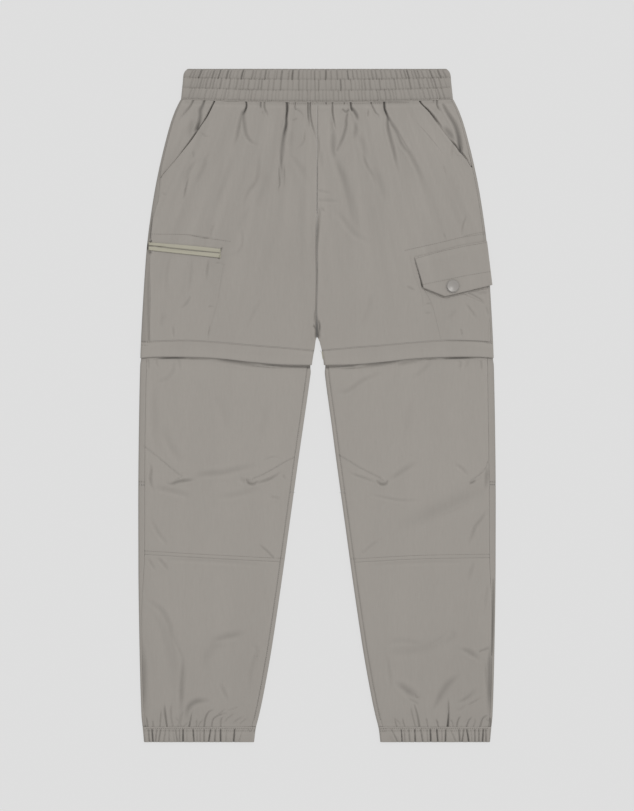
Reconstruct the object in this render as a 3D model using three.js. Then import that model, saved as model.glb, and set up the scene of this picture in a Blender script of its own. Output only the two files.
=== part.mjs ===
import * as THREE from "three";

// Zip-off trousers in a child's size, laid flat on a table with the front up, in millimetres.
// X runs across the garment, Y from the cuffs to the waist, and Z up from the table.
// "down" is the distance below the waist's top edge. "side" is -1 for the wearer's right leg
// and 1 for the left. "across" runs from 0 at a leg's inner edge to 1 at its outer edge.
// Every tube is pressed flat: its back layer lies on the table and its front layer just above.

// Driving sizes
const garmentLength = 740;
const forkDown = 294.6;
const clothWall = 1;
const seamGap = 0.3;
const layerGap = 2.2;
const frontInside = clothWall + layerGap;
const frontLow = frontInside + clothWall;
const thickestWall = 3;
const puffHeight = 1.2;
const rollSteps = 4;

// Waistband: elastic in three stitched channels
const waistCentreDrop = 37;
const waistSideDrop = 33.8;
const waistWall = 1.4;
const waistFrontLow = 5;
const waistCrest = 1.6;
const waistFan = 0.0016;
const waistColumns = 104;
const waistRows = [0, 0.07, 0.18, 0.285, 0.37, 0.53, 0.62, 0.71, 0.86, 0.94, 1];
const channels = [
  { from: 0, to: 0.285, pitch: 9.2, phase: 0.2 },
  { from: 0.285, to: 0.62, pitch: 8.4, phase: 1.1 },
  { from: 0.62, to: 0.94, pitch: 5.6, phase: 2.3 },
];

// Cuffs: elastic in one channel
const cuffTop = 723;
const cuffCrest = 1.5;
const cuffPitch = 8.6;
const cuffColumns = 42;
const cuffPlainEnd = 13;
const cuffRows = [0, 0.17, 0.26, 0.6, 1];

// Gathers that run up from the cuff into the leg
const fluteReach = 11;
const flutePitch = 12;
const fluteDepth = 0.9;
const calmRun = 26;

// Band that covers the zip-off zip, and the zip under it
const bandLevel = 312;
const bandFrontTop = 5.5;
const bandInset = 1.5;
const bandLift = 1.3;
const legUnderBand = 5;
const zipRingDrop = 1.6;
const zipWall = 0.8;

// Seams that roll onto the front, the knee seams, and the hip pocket's opening
const inseamWrap = 5.5;
const kneeLevel = 500;
const openingGap = 0.4;

// Thigh pockets
const overlayGap = 0.35;
const tapeThick = 0.7;
const pocketThick = 0.9;
const flapThick = 1.4;
const flapRamp = 8;
const flapLift = 0.9;
const flapLiftFrom = 14;
const flapLiftTo = 42;
const pocketBelowFlap = 10;
const snapRadius = 7.5;
const snapHeight = 2.3;
const snapDish = 1.3;
const snapX = 149.6;
const snapDown = 238.2;

const cloth = new THREE.MeshStandardMaterial({ color: 0x98938d, roughness: 0.85, metalness: 0 });
const tape = new THREE.MeshStandardMaterial({ color: 0xb0ac9b, roughness: 0.8, metalness: 0 });
const snapPaint = new THREE.MeshStandardMaterial({ color: 0xa29c95, roughness: 0.45, metalness: 0 });

// Half the waistband's width
const waistHalf = [
  { down: 0, half: 142.6 },
  { down: 2.5, half: 145.2 },
  { down: 6, half: 146.8 },
  { down: 14, half: 147.6 },
  { down: 36, half: 149.9 },
];

// Outer edge: distance from the centre line
const outerRows = [
  { down: 33, out: 149.8 },
  { down: 40, out: 153.4 },
  { down: 47, out: 156.6 },
  { down: 60, out: 161.2 },
  { down: 80, out: 166.7 },
  { down: 105, out: 172.7 },
  { down: 130, out: 177.8 },
  { down: 160, out: 182.7 },
  { down: 190, out: 186.6 },
  { down: 220, out: 189.1 },
  { down: 260, out: 191.6 },
  { down: 298, out: 193.6 },
  { down: 335, out: 194.8 },
  { down: 400, out: 196 },
  { down: 463, out: 196.6 },
  { down: 535, out: 196.5 },
  { down: 562, out: 196.4 },
  { down: 600, out: 195.9 },
  { down: 661, out: 194.7 },
  { down: 711, out: 193.1 },
  { down: 725, out: 191.7 },
  { down: 740, out: 190.3 },
];

// How far the back rolls onto the front at the outer edge of each leg
const wrapRows = [
  { down: 33, right: 2.8, left: 2.8 },
  { down: 108, right: 2.8, left: 2.8 },
  { down: 128, right: 4.2, left: 2.8 },
  { down: 144, right: 5.9, left: 2.8 },
  { down: 153, right: 4.6, left: 2.8 },
  { down: 168, right: 3.1, left: 2.8 },
  { down: 188, right: 4, left: 2.8 },
  { down: 221, right: 5.3, left: 2.8 },
  { down: 243, right: 7.4, left: 2.8 },
  { down: 265, right: 8.6, left: 2.8 },
  { down: 298, right: 8.9, left: 2.8 },
  { down: 316, right: 7.2, left: 6 },
  { down: 535, right: 6.8, left: 6 },
  { down: 562, right: 5.2, left: 5.2 },
  { down: 600, right: 3, left: 3 },
  { down: 740, right: 3, left: 3 },
];

// Inner edge of a leg below the fork
const innerRows = [
  { down: 294.6, in: 0.15 },
  { down: 298, in: 1.4 },
  { down: 305, in: 2.3 },
  { down: 318, in: 4.6 },
  { down: 364, in: 11 },
  { down: 430, in: 20.5 },
  { down: 496, in: 29.6 },
  { down: 562, in: 38.7 },
  { down: 628, in: 48.4 },
  { down: 661, in: 53.9 },
  { down: 694, in: 60.1 },
  { down: 711, in: 63.8 },
  { down: 725, in: 67.3 },
  { down: 740, in: 69.2 },
];

// Slant opening of each hip pocket, distance from the centre line, and where its side-front ends.
// The garment lies a little turned at the hips, so the two openings differ.
const hipPockets = {
  right: {
    facingEnd: 111,
    rows: [
      { down: 33, out: 110.6 },
      { down: 41, out: 114.3 },
      { down: 53, out: 120.4 },
      { down: 64, out: 128 },
      { down: 78, out: 137.3 },
      { down: 90, out: 146.9 },
      { down: 103, out: 157.5 },
      { down: 117, out: 169.8 },
    ],
  },
  left: {
    facingEnd: 96,
    rows: [
      { down: 33, out: 111 },
      { down: 38, out: 114.7 },
      { down: 48, out: 124 },
      { down: 58, out: 131.2 },
      { down: 69, out: 140.9 },
      { down: 82, out: 152.5 },
      { down: 93, out: 160.8 },
      { down: 102, out: 168.3 },
    ],
  },
};

// Upper and lower edge of the cover band, and the knee seams of front and back
const bandRows = [
  { across: 0, top: 309.3, bottom: 325 },
  { across: 0.2, top: 305.8, bottom: 323.9 },
  { across: 0.37, top: 303.3, bottom: 320.9 },
  { across: 0.55, top: 300.3, bottom: 317.7 },
  { across: 0.72, top: 298.2, bottom: 316.8 },
  { across: 0.9, top: 298.9, bottom: 316.8 },
  { across: 1, top: 300.2, bottom: 317.9 },
];
const kneeRows = [
  { across: 0, front: 542.3, back: 465 },
  { across: 0.5, front: 538.4, back: 461 },
  { across: 1, front: 535.5, back: 457 },
];

// Flap outline: its sewn upper edge and its free lower edge, which comes to a point
const flapRows = [
  { part: 0, topX: 107.4, topDown: 207.4, lowX: 117.3, lowDown: 240.9 },
  { part: 0.3, topX: 131, topDown: 201.2, lowX: 140.4, lowDown: 250.3 },
  { part: 0.65, topX: 159, topDown: 194, lowX: 166.5, lowDown: 244.1 },
  { part: 1, topX: 186.8, topDown: 189.2, lowX: 192.6, lowDown: 237.6 },
];

// Inner edge of the cargo pocket, and the two zip tapes of the other thigh
const pocketRows = [
  { down: 210, x: 112 },
  { down: 241, x: 117.5 },
  { down: 257, x: 125.6 },
  { down: 278, x: 131.4 },
  { down: 300, x: 136.8 },
];
const tapeRows = [
  { x: 105.8, middle: 201.4, upper: 4.4, lower: 5.2 },
  { x: 139, middle: 198.2, upper: 4.1, lower: 4 },
  { x: 185.4, middle: 194.5, upper: 3.3, lower: 2.9 },
];

// Largest folds, as troughs along a bent line. A rooted one starts at full depth at a seam.
const folds = [
  { x: -77, down: 35, midX: -81, midDown: 58, endX: -94, endDown: 92, width: 4.5, depth: 1.3, rooted: true },
  { x: -81, down: 54, midX: -77, midDown: 71, endX: -68, endDown: 82, width: 4, depth: 0.7, rooted: false },
  { x: -62, down: 35, midX: -61, midDown: 45, endX: -53, endDown: 56, width: 4, depth: 0.7, rooted: true },
  { x: -33, down: 35, midX: -34.5, midDown: 78, endX: -39, endDown: 140, width: 4.5, depth: 1.5, rooted: true },
  { x: -23, down: 35, midX: -18, midDown: 47, endX: -14, endDown: 61, width: 3.5, depth: 0.6, rooted: true },
  { x: -9, down: 35, midX: -9, midDown: 56, endX: -3, endDown: 76, width: 4, depth: 0.9, rooted: true },
  { x: -123, down: 34, midX: -128, midDown: 56, endX: -141, endDown: 81, width: 4, depth: 0.9, rooted: true },
  { x: -141, down: 122, midX: -144, midDown: 134, endX: -148, endDown: 146, width: 6, depth: 0.6, rooted: false },
  { x: -78, down: 133, midX: -83, midDown: 157, endX: -93, endDown: 184, width: 8, depth: 0.5, rooted: false },
  { x: 18, down: 35, midX: 17, midDown: 51, endX: 22, endDown: 74, width: 4, depth: 0.9, rooted: true },
  { x: 37, down: 35, midX: 33, midDown: 60, endX: 23, endDown: 92, width: 4.5, depth: 1.2, rooted: true },
  { x: 39, down: 47, midX: 44, midDown: 58, endX: 39, endDown: 74, width: 4, depth: 0.7, rooted: false },
  { x: 14, down: 78, midX: 31, midDown: 127, endX: 50, endDown: 179, width: 7, depth: 0.6, rooted: false },
  { x: 60, down: 35, midX: 63, midDown: 46, endX: 69, endDown: 56, width: 4, depth: 0.7, rooted: true },
  { x: 74, down: 35, midX: 80, midDown: 76, endX: 91, endDown: 120, width: 4.5, depth: 1.4, rooted: true },
  { x: 82, down: 58, midX: 101, midDown: 92, endX: 115, endDown: 131, width: 4.5, depth: 0.9, rooted: false },
  { x: 139, down: 39, midX: 154, midDown: 63, endX: 160, endDown: 90, width: 4.5, depth: 0.9, rooted: true },
  { x: 0, down: 150, midX: 0, midDown: 222, endX: 0, endDown: 330, width: 5, depth: 1.3, rooted: false },
  { x: -188, down: 417, midX: -169, midDown: 431, endX: -149, endDown: 448, width: 3.5, depth: 0.6, rooted: true },
  { x: -169, down: 454, midX: -134, midDown: 453, endX: -60, endDown: 433, width: 5.5, depth: 0.9, rooted: false },
  { x: -25, down: 428, midX: -48, midDown: 440, endX: -70, endDown: 452, width: 3.5, depth: 0.7, rooted: true },
  { x: -183, down: 441, midX: -160, midDown: 463, endX: -95, endDown: 472, width: 7, depth: 0.5, rooted: false },
  { x: 27, down: 428, midX: 50, midDown: 441, endX: 75, endDown: 453, width: 3.5, depth: 0.7, rooted: true },
  { x: 77, down: 454, midX: 95, midDown: 444, endX: 125, endDown: 432, width: 5.5, depth: 0.6, rooted: false },
  { x: 189, down: 432, midX: 180, midDown: 443, endX: 167, endDown: 456, width: 3.5, depth: 0.7, rooted: true },
  { x: 187, down: 461, midX: 136, midDown: 482, endX: 87, endDown: 507, width: 9, depth: 0.9, rooted: false },
  { x: 187, down: 487, midX: 173, midDown: 505, endX: 165, endDown: 527, width: 5, depth: 0.6, rooted: false },
  { x: 17, down: 357, midX: 43, midDown: 348, endX: 75, endDown: 334, width: 6, depth: 0.5, rooted: false },
  { x: -187, down: 584, midX: -161, midDown: 619, endX: -149, endDown: 694, width: 6, depth: 1.2, rooted: false },
  { x: -114, down: 628, midX: -97, midDown: 625, endX: -80, endDown: 619, width: 5, depth: 0.8, rooted: false },
  { x: -143, down: 720, midX: -138, midDown: 700, endX: -117, endDown: 694, width: 4, depth: 1, rooted: true },
  { x: 126, down: 708, midX: 139, midDown: 683, endX: 158, endDown: 667, width: 4.5, depth: 1.1, rooted: false },
  { x: 94, down: 682, midX: 105, midDown: 688, endX: 117, endDown: 696, width: 5, depth: 0.8, rooted: false },
  { x: 144, down: 723, midX: 145, midDown: 707, endX: 144, endDown: 690, width: 4, depth: 1.3, rooted: true },
  { x: 154, down: 697, midX: 169, midDown: 690, endX: 173, endDown: 677, width: 4.5, depth: 0.7, rooted: false },
  { x: 156, down: 639, midX: 169, midDown: 642, endX: 182, endDown: 651, width: 5, depth: 0.6, rooted: false },
  { x: 184, down: 641, midX: 188, midDown: 683, endX: 186, endDown: 718, width: 4, depth: 0.8, rooted: false },
];

const mix = (a, b, t) => a + (b - a) * t;
const clamp = (v, low, high) => Math.min(high, Math.max(low, v));

function ease(from, to, v) {
  const t = clamp((v - from) / (to - from), 0, 1);
  return t * t * (3 - 2 * t);
}

// A smooth curve through one column of a table
function read(rows, key, column, at) {
  const last = rows.length - 1;
  if (at <= rows[0][key]) return rows[0][column];
  if (at >= rows[last][key]) return rows[last][column];
  const i = rows.findIndex((row) => row[key] > at) - 1;
  const span = rows[i + 1][key] - rows[i][key];
  const slope = (k) => {
    const a = rows[Math.max(k - 1, 0)];
    const b = rows[Math.min(k + 1, last)];
    return ((b[column] - a[column]) / (b[key] - a[key])) * span;
  };
  const t = (at - rows[i][key]) / span;
  const low = rows[i][column];
  const high = rows[i + 1][column];
  const bend = slope(i) * t * (1 - t) * (1 - t) - slope(i + 1) * t * t * (1 - t);
  return mix(low, high, t * t * (3 - 2 * t)) + bend;
}

// Straight stretches between the rows of a table, for an outline with real corners
function readStraight(rows, key, column, at) {
  const i = clamp(rows.findIndex((row) => row[key] > at) - 1, 0, rows.length - 2);
  const end = at >= rows[rows.length - 1][key] ? rows.length - 2 : i;
  const t = (at - rows[end][key]) / (rows[end + 1][key] - rows[end][key]);
  return mix(rows[end][column], rows[end + 1][column], clamp(t, 0, 1));
}

const outerAt = (down) => read(outerRows, "down", "out", down);
const innerAt = (down) => (down <= forkDown ? seamGap / 2 : read(innerRows, "down", "in", down));
const waistBottom = (x) => mix(waistCentreDrop, waistSideDrop, clamp(Math.abs(x) / 150, 0, 1) ** 2);

function acrossLeg(x, down) {
  const inner = innerAt(down);
  return clamp((Math.abs(x) - inner) / (outerAt(down) - inner), 0, 1);
}

const bandTopAt = (x) => read(bandRows, "across", "top", acrossLeg(x, bandLevel));
const bandBottomAt = (x) => read(bandRows, "across", "bottom", acrossLeg(x, bandLevel));
const kneeAt = (x, column) => read(kneeRows, "across", column, acrossLeg(x, kneeLevel));

// How far a point lies from a fold's line, and how far along it
function nearFold(fold, x, down) {
  const steps = 10;
  let best = { gap: Infinity, along: 0 };
  let from = [fold.x, fold.down];
  for (let k = 1; k <= steps; k++) {
    const t = k / steps;
    const a = (1 - t) * (1 - 2 * t);
    const b = 4 * t * (1 - t);
    const c = t * (2 * t - 1);
    const to = [
      a * fold.x + b * fold.midX + c * fold.endX,
      a * fold.down + b * fold.midDown + c * fold.endDown,
    ];
    const run = [to[0] - from[0], to[1] - from[1]];
    const length = run[0] * run[0] + run[1] * run[1];
    const s = clamp(((x - from[0]) * run[0] + (down - from[1]) * run[1]) / length, 0, 1);
    const gap = Math.hypot(x - from[0] - s * run[0], down - from[1] - s * run[1]);
    if (gap < best.gap) best = { gap, along: (k - 1 + s) / steps };
    from = to;
  }
  return best;
}

// A trough with a low shoulder on each side, which dies out at its free ends
function foldHeight(fold, x, down) {
  const { gap, along } = nearFold(fold, x, down);
  const reach = gap / fold.width;
  if (reach > 4) return 0;
  const start = fold.rooted ? 1 : ease(0, 0.25, along);
  const fade = start * (1 - ease(0.55, 1, along));
  return fold.depth * fade * (0.4 * Math.exp(-((reach - 1.9) ** 2)) - Math.exp(-reach * reach));
}

// Narrow troughs between rounded crests, as elastic makes them: 0 in a trough and 1 on a crest
function gathered(x, pitch, phase) {
  const wander = 0.9 * Math.sin(x * 0.071 + phase) + 0.6 * Math.sin(x * 0.173 - 2 * phase);
  return Math.abs(Math.sin((Math.PI * x) / pitch + wander + phase)) ** 0.6;
}

// Height of the front layer's outer face
function frontHeight(x, down) {
  const across = acrossLeg(x, down);
  const leg = 1 - Math.abs(2 * across - 1) ** 3.5;
  const hips = 1 - clamp(Math.abs(x) / outerAt(down), 0, 1) ** 4;
  const puff = mix(hips, leg, ease(160, 300, down));
  const belowBand = down - bandBottomAt(x);
  const calm = down > bandTopAt(x) ? ease(1, calmRun, belowBand) : 1;
  const atCuff = ease(cuffTop, cuffTop - calmRun, down);
  const fluteFade = Math.exp((down - cuffTop) / fluteReach);
  const flutes = fluteDepth * fluteFade * (gathered(x, flutePitch, 0.7) - 0.5);
  let height = puffHeight * puff * mix(0.5, 1, atCuff) + flutes;
  for (const fold of folds) height += foldHeight(fold, x, down);
  return frontLow + clamp(height * calm, 0, thickestWall - clothWall);
}

// A wall swept through rows. Each row has a path on its outer face and one on its inner face.
// Closed rows make a tube, and open ones a sheet whose two side edges are walled up.
function sweepWall(rows, closed) {
  const positions = [];
  const index = [];
  const add = (p) => {
    positions.push(p.x, p.y, p.z);
    return positions.length / 3 - 1;
  };
  const placed = rows.map(({ outer, inner }) => ({
    outer: outer.map(add),
    inner: inner.map(add),
  }));
  const face = (a, b, c) => index.push(a, b, c);
  const quad = (a, b, c, d) => {
    face(a, b, c);
    face(a, c, d);
  };
  const pairs = (path) => path.length - (closed ? 0 : 1);
  for (let j = 0; j < rows.length - 1; j++) {
    const [here, next] = [placed[j], placed[j + 1]];
    for (let i = 0; i < pairs(here.outer); i++) {
      const k = (i + 1) % here.outer.length;
      quad(here.outer[i], here.outer[k], next.outer[k], next.outer[i]);
    }
    for (let i = 0; i < pairs(here.inner); i++) {
      const k = (i + 1) % here.inner.length;
      quad(here.inner[k], here.inner[i], next.inner[i], next.inner[k]);
    }
    if (closed) continue;
    quad(here.outer[0], next.outer[0], next.inner[0], here.inner[0]);
    quad(next.outer.at(-1), here.outer.at(-1), here.inner.at(-1), next.inner.at(-1));
  }
  closeEnd(rows[0], placed[0], closed, (a, b, c) => face(a, b, c));
  closeEnd(rows.at(-1), placed.at(-1), closed, (a, b, c) => face(c, b, a));
  const geometry = new THREE.BufferGeometry();
  geometry.setAttribute("position", new THREE.Float32BufferAttribute(positions, 3));
  geometry.setIndex(index);
  return facingOut(geometry);
}

// Walls up one end row by stepping along its outer and inner path together
function closeEnd(row, placed, closed, face) {
  const lengths = (path) => {
    const points = closed ? [...path, path[0]] : path;
    const sums = [0];
    for (let i = 1; i < points.length; i++) sums.push(sums[i - 1] + points[i].distanceTo(points[i - 1]));
    return sums.map((s) => s / sums.at(-1));
  };
  const outer = lengths(row.outer);
  const inner = lengths(row.inner);
  const o = (i) => placed.outer[i % placed.outer.length];
  const n = (i) => placed.inner[i % placed.inner.length];
  let i = 0;
  let k = 0;
  while (i < outer.length - 1 || k < inner.length - 1) {
    const outerNext = k === inner.length - 1 || (i < outer.length - 1 && outer[i + 1] <= inner[k + 1]);
    if (outerNext) face(o(i + 1), o(i), n(k));
    else face(n(k), n(k + 1), o(i));
    if (outerNext) i++;
    else k++;
  }
}

// Turns a closed mesh so that its faces point outwards
function facingOut(geometry) {
  const p = geometry.getAttribute("position");
  const index = geometry.index.array;
  const [a, b, c] = [new THREE.Vector3(), new THREE.Vector3(), new THREE.Vector3()];
  let volume = 0;
  for (let i = 0; i < index.length; i += 3) {
    a.fromBufferAttribute(p, index[i]);
    b.fromBufferAttribute(p, index[i + 1]);
    c.fromBufferAttribute(p, index[i + 2]);
    volume += a.dot(b.cross(c));
  }
  if (volume < 0)
    for (let i = 0; i < index.length; i += 3) [index[i + 1], index[i + 2]] = [index[i + 2], index[i + 1]];
  geometry.computeVertexNormals();
  return geometry;
}

// Finds where a row crosses a column, since both edges of a piece are curves
function settle(xAt, topAt, bottomAt, part) {
  const midLeg = 100;
  let down = mix(topAt(midLeg), bottomAt(midLeg), part);
  let x = xAt(down);
  for (let k = 0; k < 5; k++) {
    down = mix(topAt(x), bottomAt(x), part);
    x = xAt(down);
  }
  return { x, down };
}

// The rows of a piece between an upper and a lower edge. A spot has a distance from the centre
// line, which depends on how far down it lies, and a height.
function rowsOf({ side, topAt, bottomAt, parts, outer, inner }) {
  const place = (part) => (spot) => {
    const { x, down } = settle(spot.x, topAt, bottomAt, part);
    return new THREE.Vector3(side * x, garmentLength / 2 - down, spot.z(side * x, down, part));
  };
  return parts.map((part) => ({ outer: outer.map(place(part)), inner: inner.map(place(part)) }));
}

const evenParts = (count, spread = 1) => Array.from({ length: count + 1 }, (_, i) => (i / count) ** spread);
const flat = (height) => () => height;

// Spots round a rolled edge. The form has the height of its under and upper side, and turn is
// 1 at an inner edge and -1 at an outer one.
function rolled(form, edge, turn, inward, from, to) {
  const radius = (down) => (form.high - form.low(down, turn)) / 2;
  return evenParts(rollSteps).map((t) => {
    const angle = THREE.MathUtils.degToRad(mix(from, to, t));
    return {
      x: (down) => edge(down) + turn * radius(down) + (radius(down) - inward) * Math.cos(angle),
      z: (x, down) => form.high - radius(down) + (radius(down) - inward) * Math.sin(angle),
    };
  });
}

const innerRoll = (form, inward) => rolled(form, form.inEdge, 1, inward, 90, 270);
const outerRoll = (form, inward) => rolled(form, form.outEdge, -1, inward, 270, 450);

// A flattened tube: rolled at both edges, with its own height across the front
function tubeRows(form) {
  const centreIn = (down) => form.inEdge(down) + (form.high - form.low(down, 1)) / 2;
  const centreOut = (down) => form.outEdge(down) - (form.high - form.low(down, -1)) / 2;
  const across = (columns, z) =>
    evenParts(columns)
      .slice(1, -1)
      .map((t) => ({ x: (down) => mix(centreOut(down), centreIn(down), t), z }));
  const path = (inward, columns, z) => [
    ...innerRoll(form, inward),
    ...outerRoll(form, inward),
    ...across(columns, z),
  ];
  return rowsOf({
    ...form,
    outer: path(0, form.columns, form.top),
    inner: path(form.wall, form.innerColumns ?? 8, flat(form.high - form.wall)),
  });
}

// A back: flat on the table, rolled over its edges onto the front as far as the seams.
// Above the fork its inner edge is the plain centre seam.
function backRows(form, lipIn, lipOut) {
  const lip = (xAt, inward) => ({
    x: xAt,
    z: inward ? flat(form.high - inward) : (x, down) => frontHeight(x, down),
  });
  const plainEdge = (inward) => ({ x: form.inEdge, z: flat(inward) });
  const path = (inward) => [
    ...(lipIn ? [lip(lipIn, inward), ...innerRoll(form, inward)] : [plainEdge(inward)]),
    ...outerRoll(form, inward),
    lip(lipOut, inward),
  ];
  return rowsOf({ ...form, outer: path(0), inner: path(clothWall) });
}

// A front: plain inside, with its folds in the outer face
function frontRows(form) {
  const path = (columns, z) =>
    evenParts(columns).map((t) => ({ x: (down) => mix(form.inEdge(down), form.outEdge(down), t), z }));
  return rowsOf({
    ...form,
    outer: path(form.columns, form.top ?? frontHeight),
    inner: path(Math.ceil(form.columns / 4), flat(frontInside)),
  });
}

// A piece that lies on a front: both faces follow that front's own surface, moved out
function overlayRows({ side, columns, parts, at, gap, thick }) {
  const path = (part, lift) =>
    evenParts(columns).map((t) => {
      const { x, down } = at(t, part);
      const height = frontHeight(side * x, down) + gap(t, part) + lift;
      return new THREE.Vector3(side * x, garmentLength / 2 - down, height);
    });
  return parts.map((part) => ({ outer: path(part, thick), inner: path(part, 0) }));
}

const trousers = new THREE.Group();

function addPiece(name, geometry, material) {
  const piece = new THREE.Mesh(geometry, material);
  piece.name = name;
  trousers.add(piece);
}

const addTube = (name, form) => addPiece(name, sweepWall(tubeRows(form), true), cloth);
const addFront = (name, form) => addPiece(name, sweepWall(frontRows(form), false), cloth);
const addBack = (name, form, lipIn, lipOut) =>
  addPiece(name, sweepWall(backRows(form, lipIn, lipOut), false), cloth);

function waistHeight(x, down, part) {
  const channel = channels.find(({ to }) => part < to);
  const middle = channel ? (part - channel.from) / (channel.to - channel.from) : 0;
  const swell = channel ? Math.sin(Math.PI * clamp(middle, 0, 1)) ** 0.7 : 0;
  const { pitch, phase } = channel ?? channels[2];
  const fanned = x * (1 - waistFan * (down - waistCentreDrop / 2));
  const crest = gathered(fanned, pitch, phase);
  return waistFrontLow - 0.2 + swell * waistCrest * (0.25 + 0.75 * crest) + 0.2 * crest;
}

function makeWaistband() {
  const half = (down) => read(waistHalf, "down", "half", down);
  addTube("waistband", {
    side: 1,
    low: flat(0),
    high: waistFrontLow,
    wall: waistWall,
    inEdge: (down) => -half(down),
    outEdge: half,
    topAt: flat(0),
    bottomAt: waistBottom,
    parts: waistRows,
    columns: waistColumns,
    top: waistHeight,
  });
}

const sideSeamOf = (word) => (down) => outerAt(down) - read(wrapRows, "down", word, down);

function makeShortsHalf(side, word) {
  const topAt = (x) => waistBottom(x) + seamGap;
  const bottomAt = (x) => bandTopAt(x) - seamGap;
  const shortsParts = evenParts(22, 1.35);
  const { rows, facingEnd } = hipPockets[word];
  const sideSeam = sideSeamOf(word);
  const openingAt = (down) => read(rows, "down", "out", down);
  const frontSide = (down) =>
    down < rows.at(-1).down ? Math.min(openingAt(down), sideSeam(down) - seamGap) : sideSeam(down) - seamGap;
  addFront(word + "FrontUpper", {
    side,
    topAt,
    bottomAt,
    parts: shortsParts,
    columns: 26,
    inEdge: innerAt,
    outEdge: frontSide,
  });
  addFront(word + "PocketFacing", {
    side,
    topAt,
    bottomAt: flat(facingEnd),
    parts: evenParts(9),
    columns: 7,
    inEdge: (down) => openingAt(down) + openingGap,
    outEdge: (down) => sideSeam(down) - seamGap,
  });
  addBack(
    word + "BackUpper",
    {
      side,
      low: flat(0),
      high: frontLow,
      topAt,
      bottomAt,
      parts: shortsParts,
      inEdge: innerAt,
      outEdge: outerAt,
    },
    null,
    sideSeam,
  );
}

// Inside the cover band a leg is a little narrower and lies off the table
const underBand = (x, down) => 1 - ease(0.4, 9, down - bandBottomAt(x));
const legIn = (down) => innerAt(down) + bandInset * underBand(innerAt(down), down);
const legOut = (down) => outerAt(down) - bandInset * underBand(outerAt(down), down);
const legLow = (down, turn) => bandLift * underBand(turn > 0 ? innerAt(down) : outerAt(down), down);

function makeBandAndZip(side, word) {
  const under = { side, inEdge: innerAt, outEdge: outerAt, low: flat(0), columns: 22 };
  addTube(word + "CoverBand", {
    ...under,
    high: bandFrontTop,
    wall: clothWall,
    topAt: bandTopAt,
    bottomAt: bandBottomAt,
    parts: evenParts(2),
    top: flat(bandFrontTop),
    innerColumns: 22,
  });
  addTube(word + "ZipRing", {
    ...under,
    inEdge: (down) => innerAt(down) + bandInset,
    outEdge: (down) => outerAt(down) - bandInset,
    low: flat(bandLift),
    high: frontLow,
    wall: zipWall,
    topAt: (x) => bandTopAt(x) + zipRingDrop,
    bottomAt: (x) => bandBottomAt(x) - legUnderBand - 2 * seamGap,
    parts: evenParts(1),
    columns: 14,
    innerColumns: 14,
    top: flat(frontLow),
  });
}

// Rows of a piece that starts under the cover band: close together where it comes out of it
function partsUnderBand(seam, count) {
  const length = kneeRows[1][seam] - bandRows[3].bottom + legUnderBand;
  const start = [0, legUnderBand + 0.4, legUnderBand + 3.5, legUnderBand + 9].map((d) => d / length);
  const rest = evenParts(count).slice(1);
  return [...start, ...rest.map((t) => mix(start.at(-1), 1, t))];
}

function makeLowerLeg(side, word) {
  const topAt = (x) => bandBottomAt(x) - legUnderBand;
  const frontKnee = (x) => kneeAt(x, "front");
  const backKnee = (x) => kneeAt(x, "back");
  const cuffEdge = flat(cuffTop - seamGap);
  const inseam = (down) => innerAt(down) + inseamWrap;
  const sideSeam = sideSeamOf(word);
  const front = {
    side,
    inEdge: (down) => inseam(down) + seamGap,
    outEdge: (down) => sideSeam(down) - seamGap,
  };
  const back = { side, inEdge: legIn, outEdge: legOut, high: frontLow, low: legLow };
  addFront(word + "KneeFront", {
    ...front,
    topAt,
    bottomAt: frontKnee,
    parts: partsUnderBand("front", 12),
    columns: 16,
  });
  addFront(word + "ShinFront", {
    ...front,
    topAt: (x) => frontKnee(x) + seamGap,
    bottomAt: cuffEdge,
    parts: evenParts(17).map((t) => 1 - (1 - t) ** 1.3),
    columns: 22,
  });
  addBack(
    word + "KneeBack",
    { ...back, topAt, bottomAt: backKnee, parts: partsUnderBand("back", 5) },
    inseam,
    sideSeam,
  );
  addBack(
    word + "CalfBack",
    { ...back, topAt: (x) => backKnee(x) + seamGap, bottomAt: cuffEdge, parts: evenParts(16) },
    inseam,
    sideSeam,
  );
}

function makeCuff(side, word) {
  const pleats = (x, down, part) => {
    const pleated = ease(cuffPlainEnd - 3, cuffPlainEnd + 3, Math.abs(x) - innerAt(down));
    const swell = part < cuffRows[2] ? 0.35 : 1;
    const crest = swell * cuffCrest * gathered(x, cuffPitch, 1.3 * side);
    return frontLow + mix(0.3, crest, pleated);
  };
  addTube(word + "Cuff", {
    side,
    low: flat(0),
    high: frontLow,
    wall: clothWall,
    inEdge: innerAt,
    outEdge: outerAt,
    topAt: flat(cuffTop),
    bottomAt: flat(garmentLength),
    parts: cuffRows,
    columns: cuffColumns,
    top: pleats,
  });
}

function makeZipPocket() {
  const edge = tapeRows[0].x;
  const seam = tapeRows.at(-1).x;
  const tapes = { zipTapeUpper: -1, zipTapeLower: 1 };
  for (const [name, way] of Object.entries(tapes)) {
    const column = way < 0 ? "upper" : "lower";
    const at = (t, part) => {
      const x = mix(edge, seam, t);
      const width = read(tapeRows, "x", column, x);
      const middle = read(tapeRows, "x", "middle", x);
      return { x, down: middle + way * (seamGap / 2 + part * width) };
    };
    const rows = overlayRows({
      side: -1,
      columns: 12,
      parts: evenParts(1),
      at,
      gap: flat(overlayGap),
      thick: tapeThick,
    });
    addPiece(name, sweepWall(rows, false), tape);
  }
}

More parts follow.
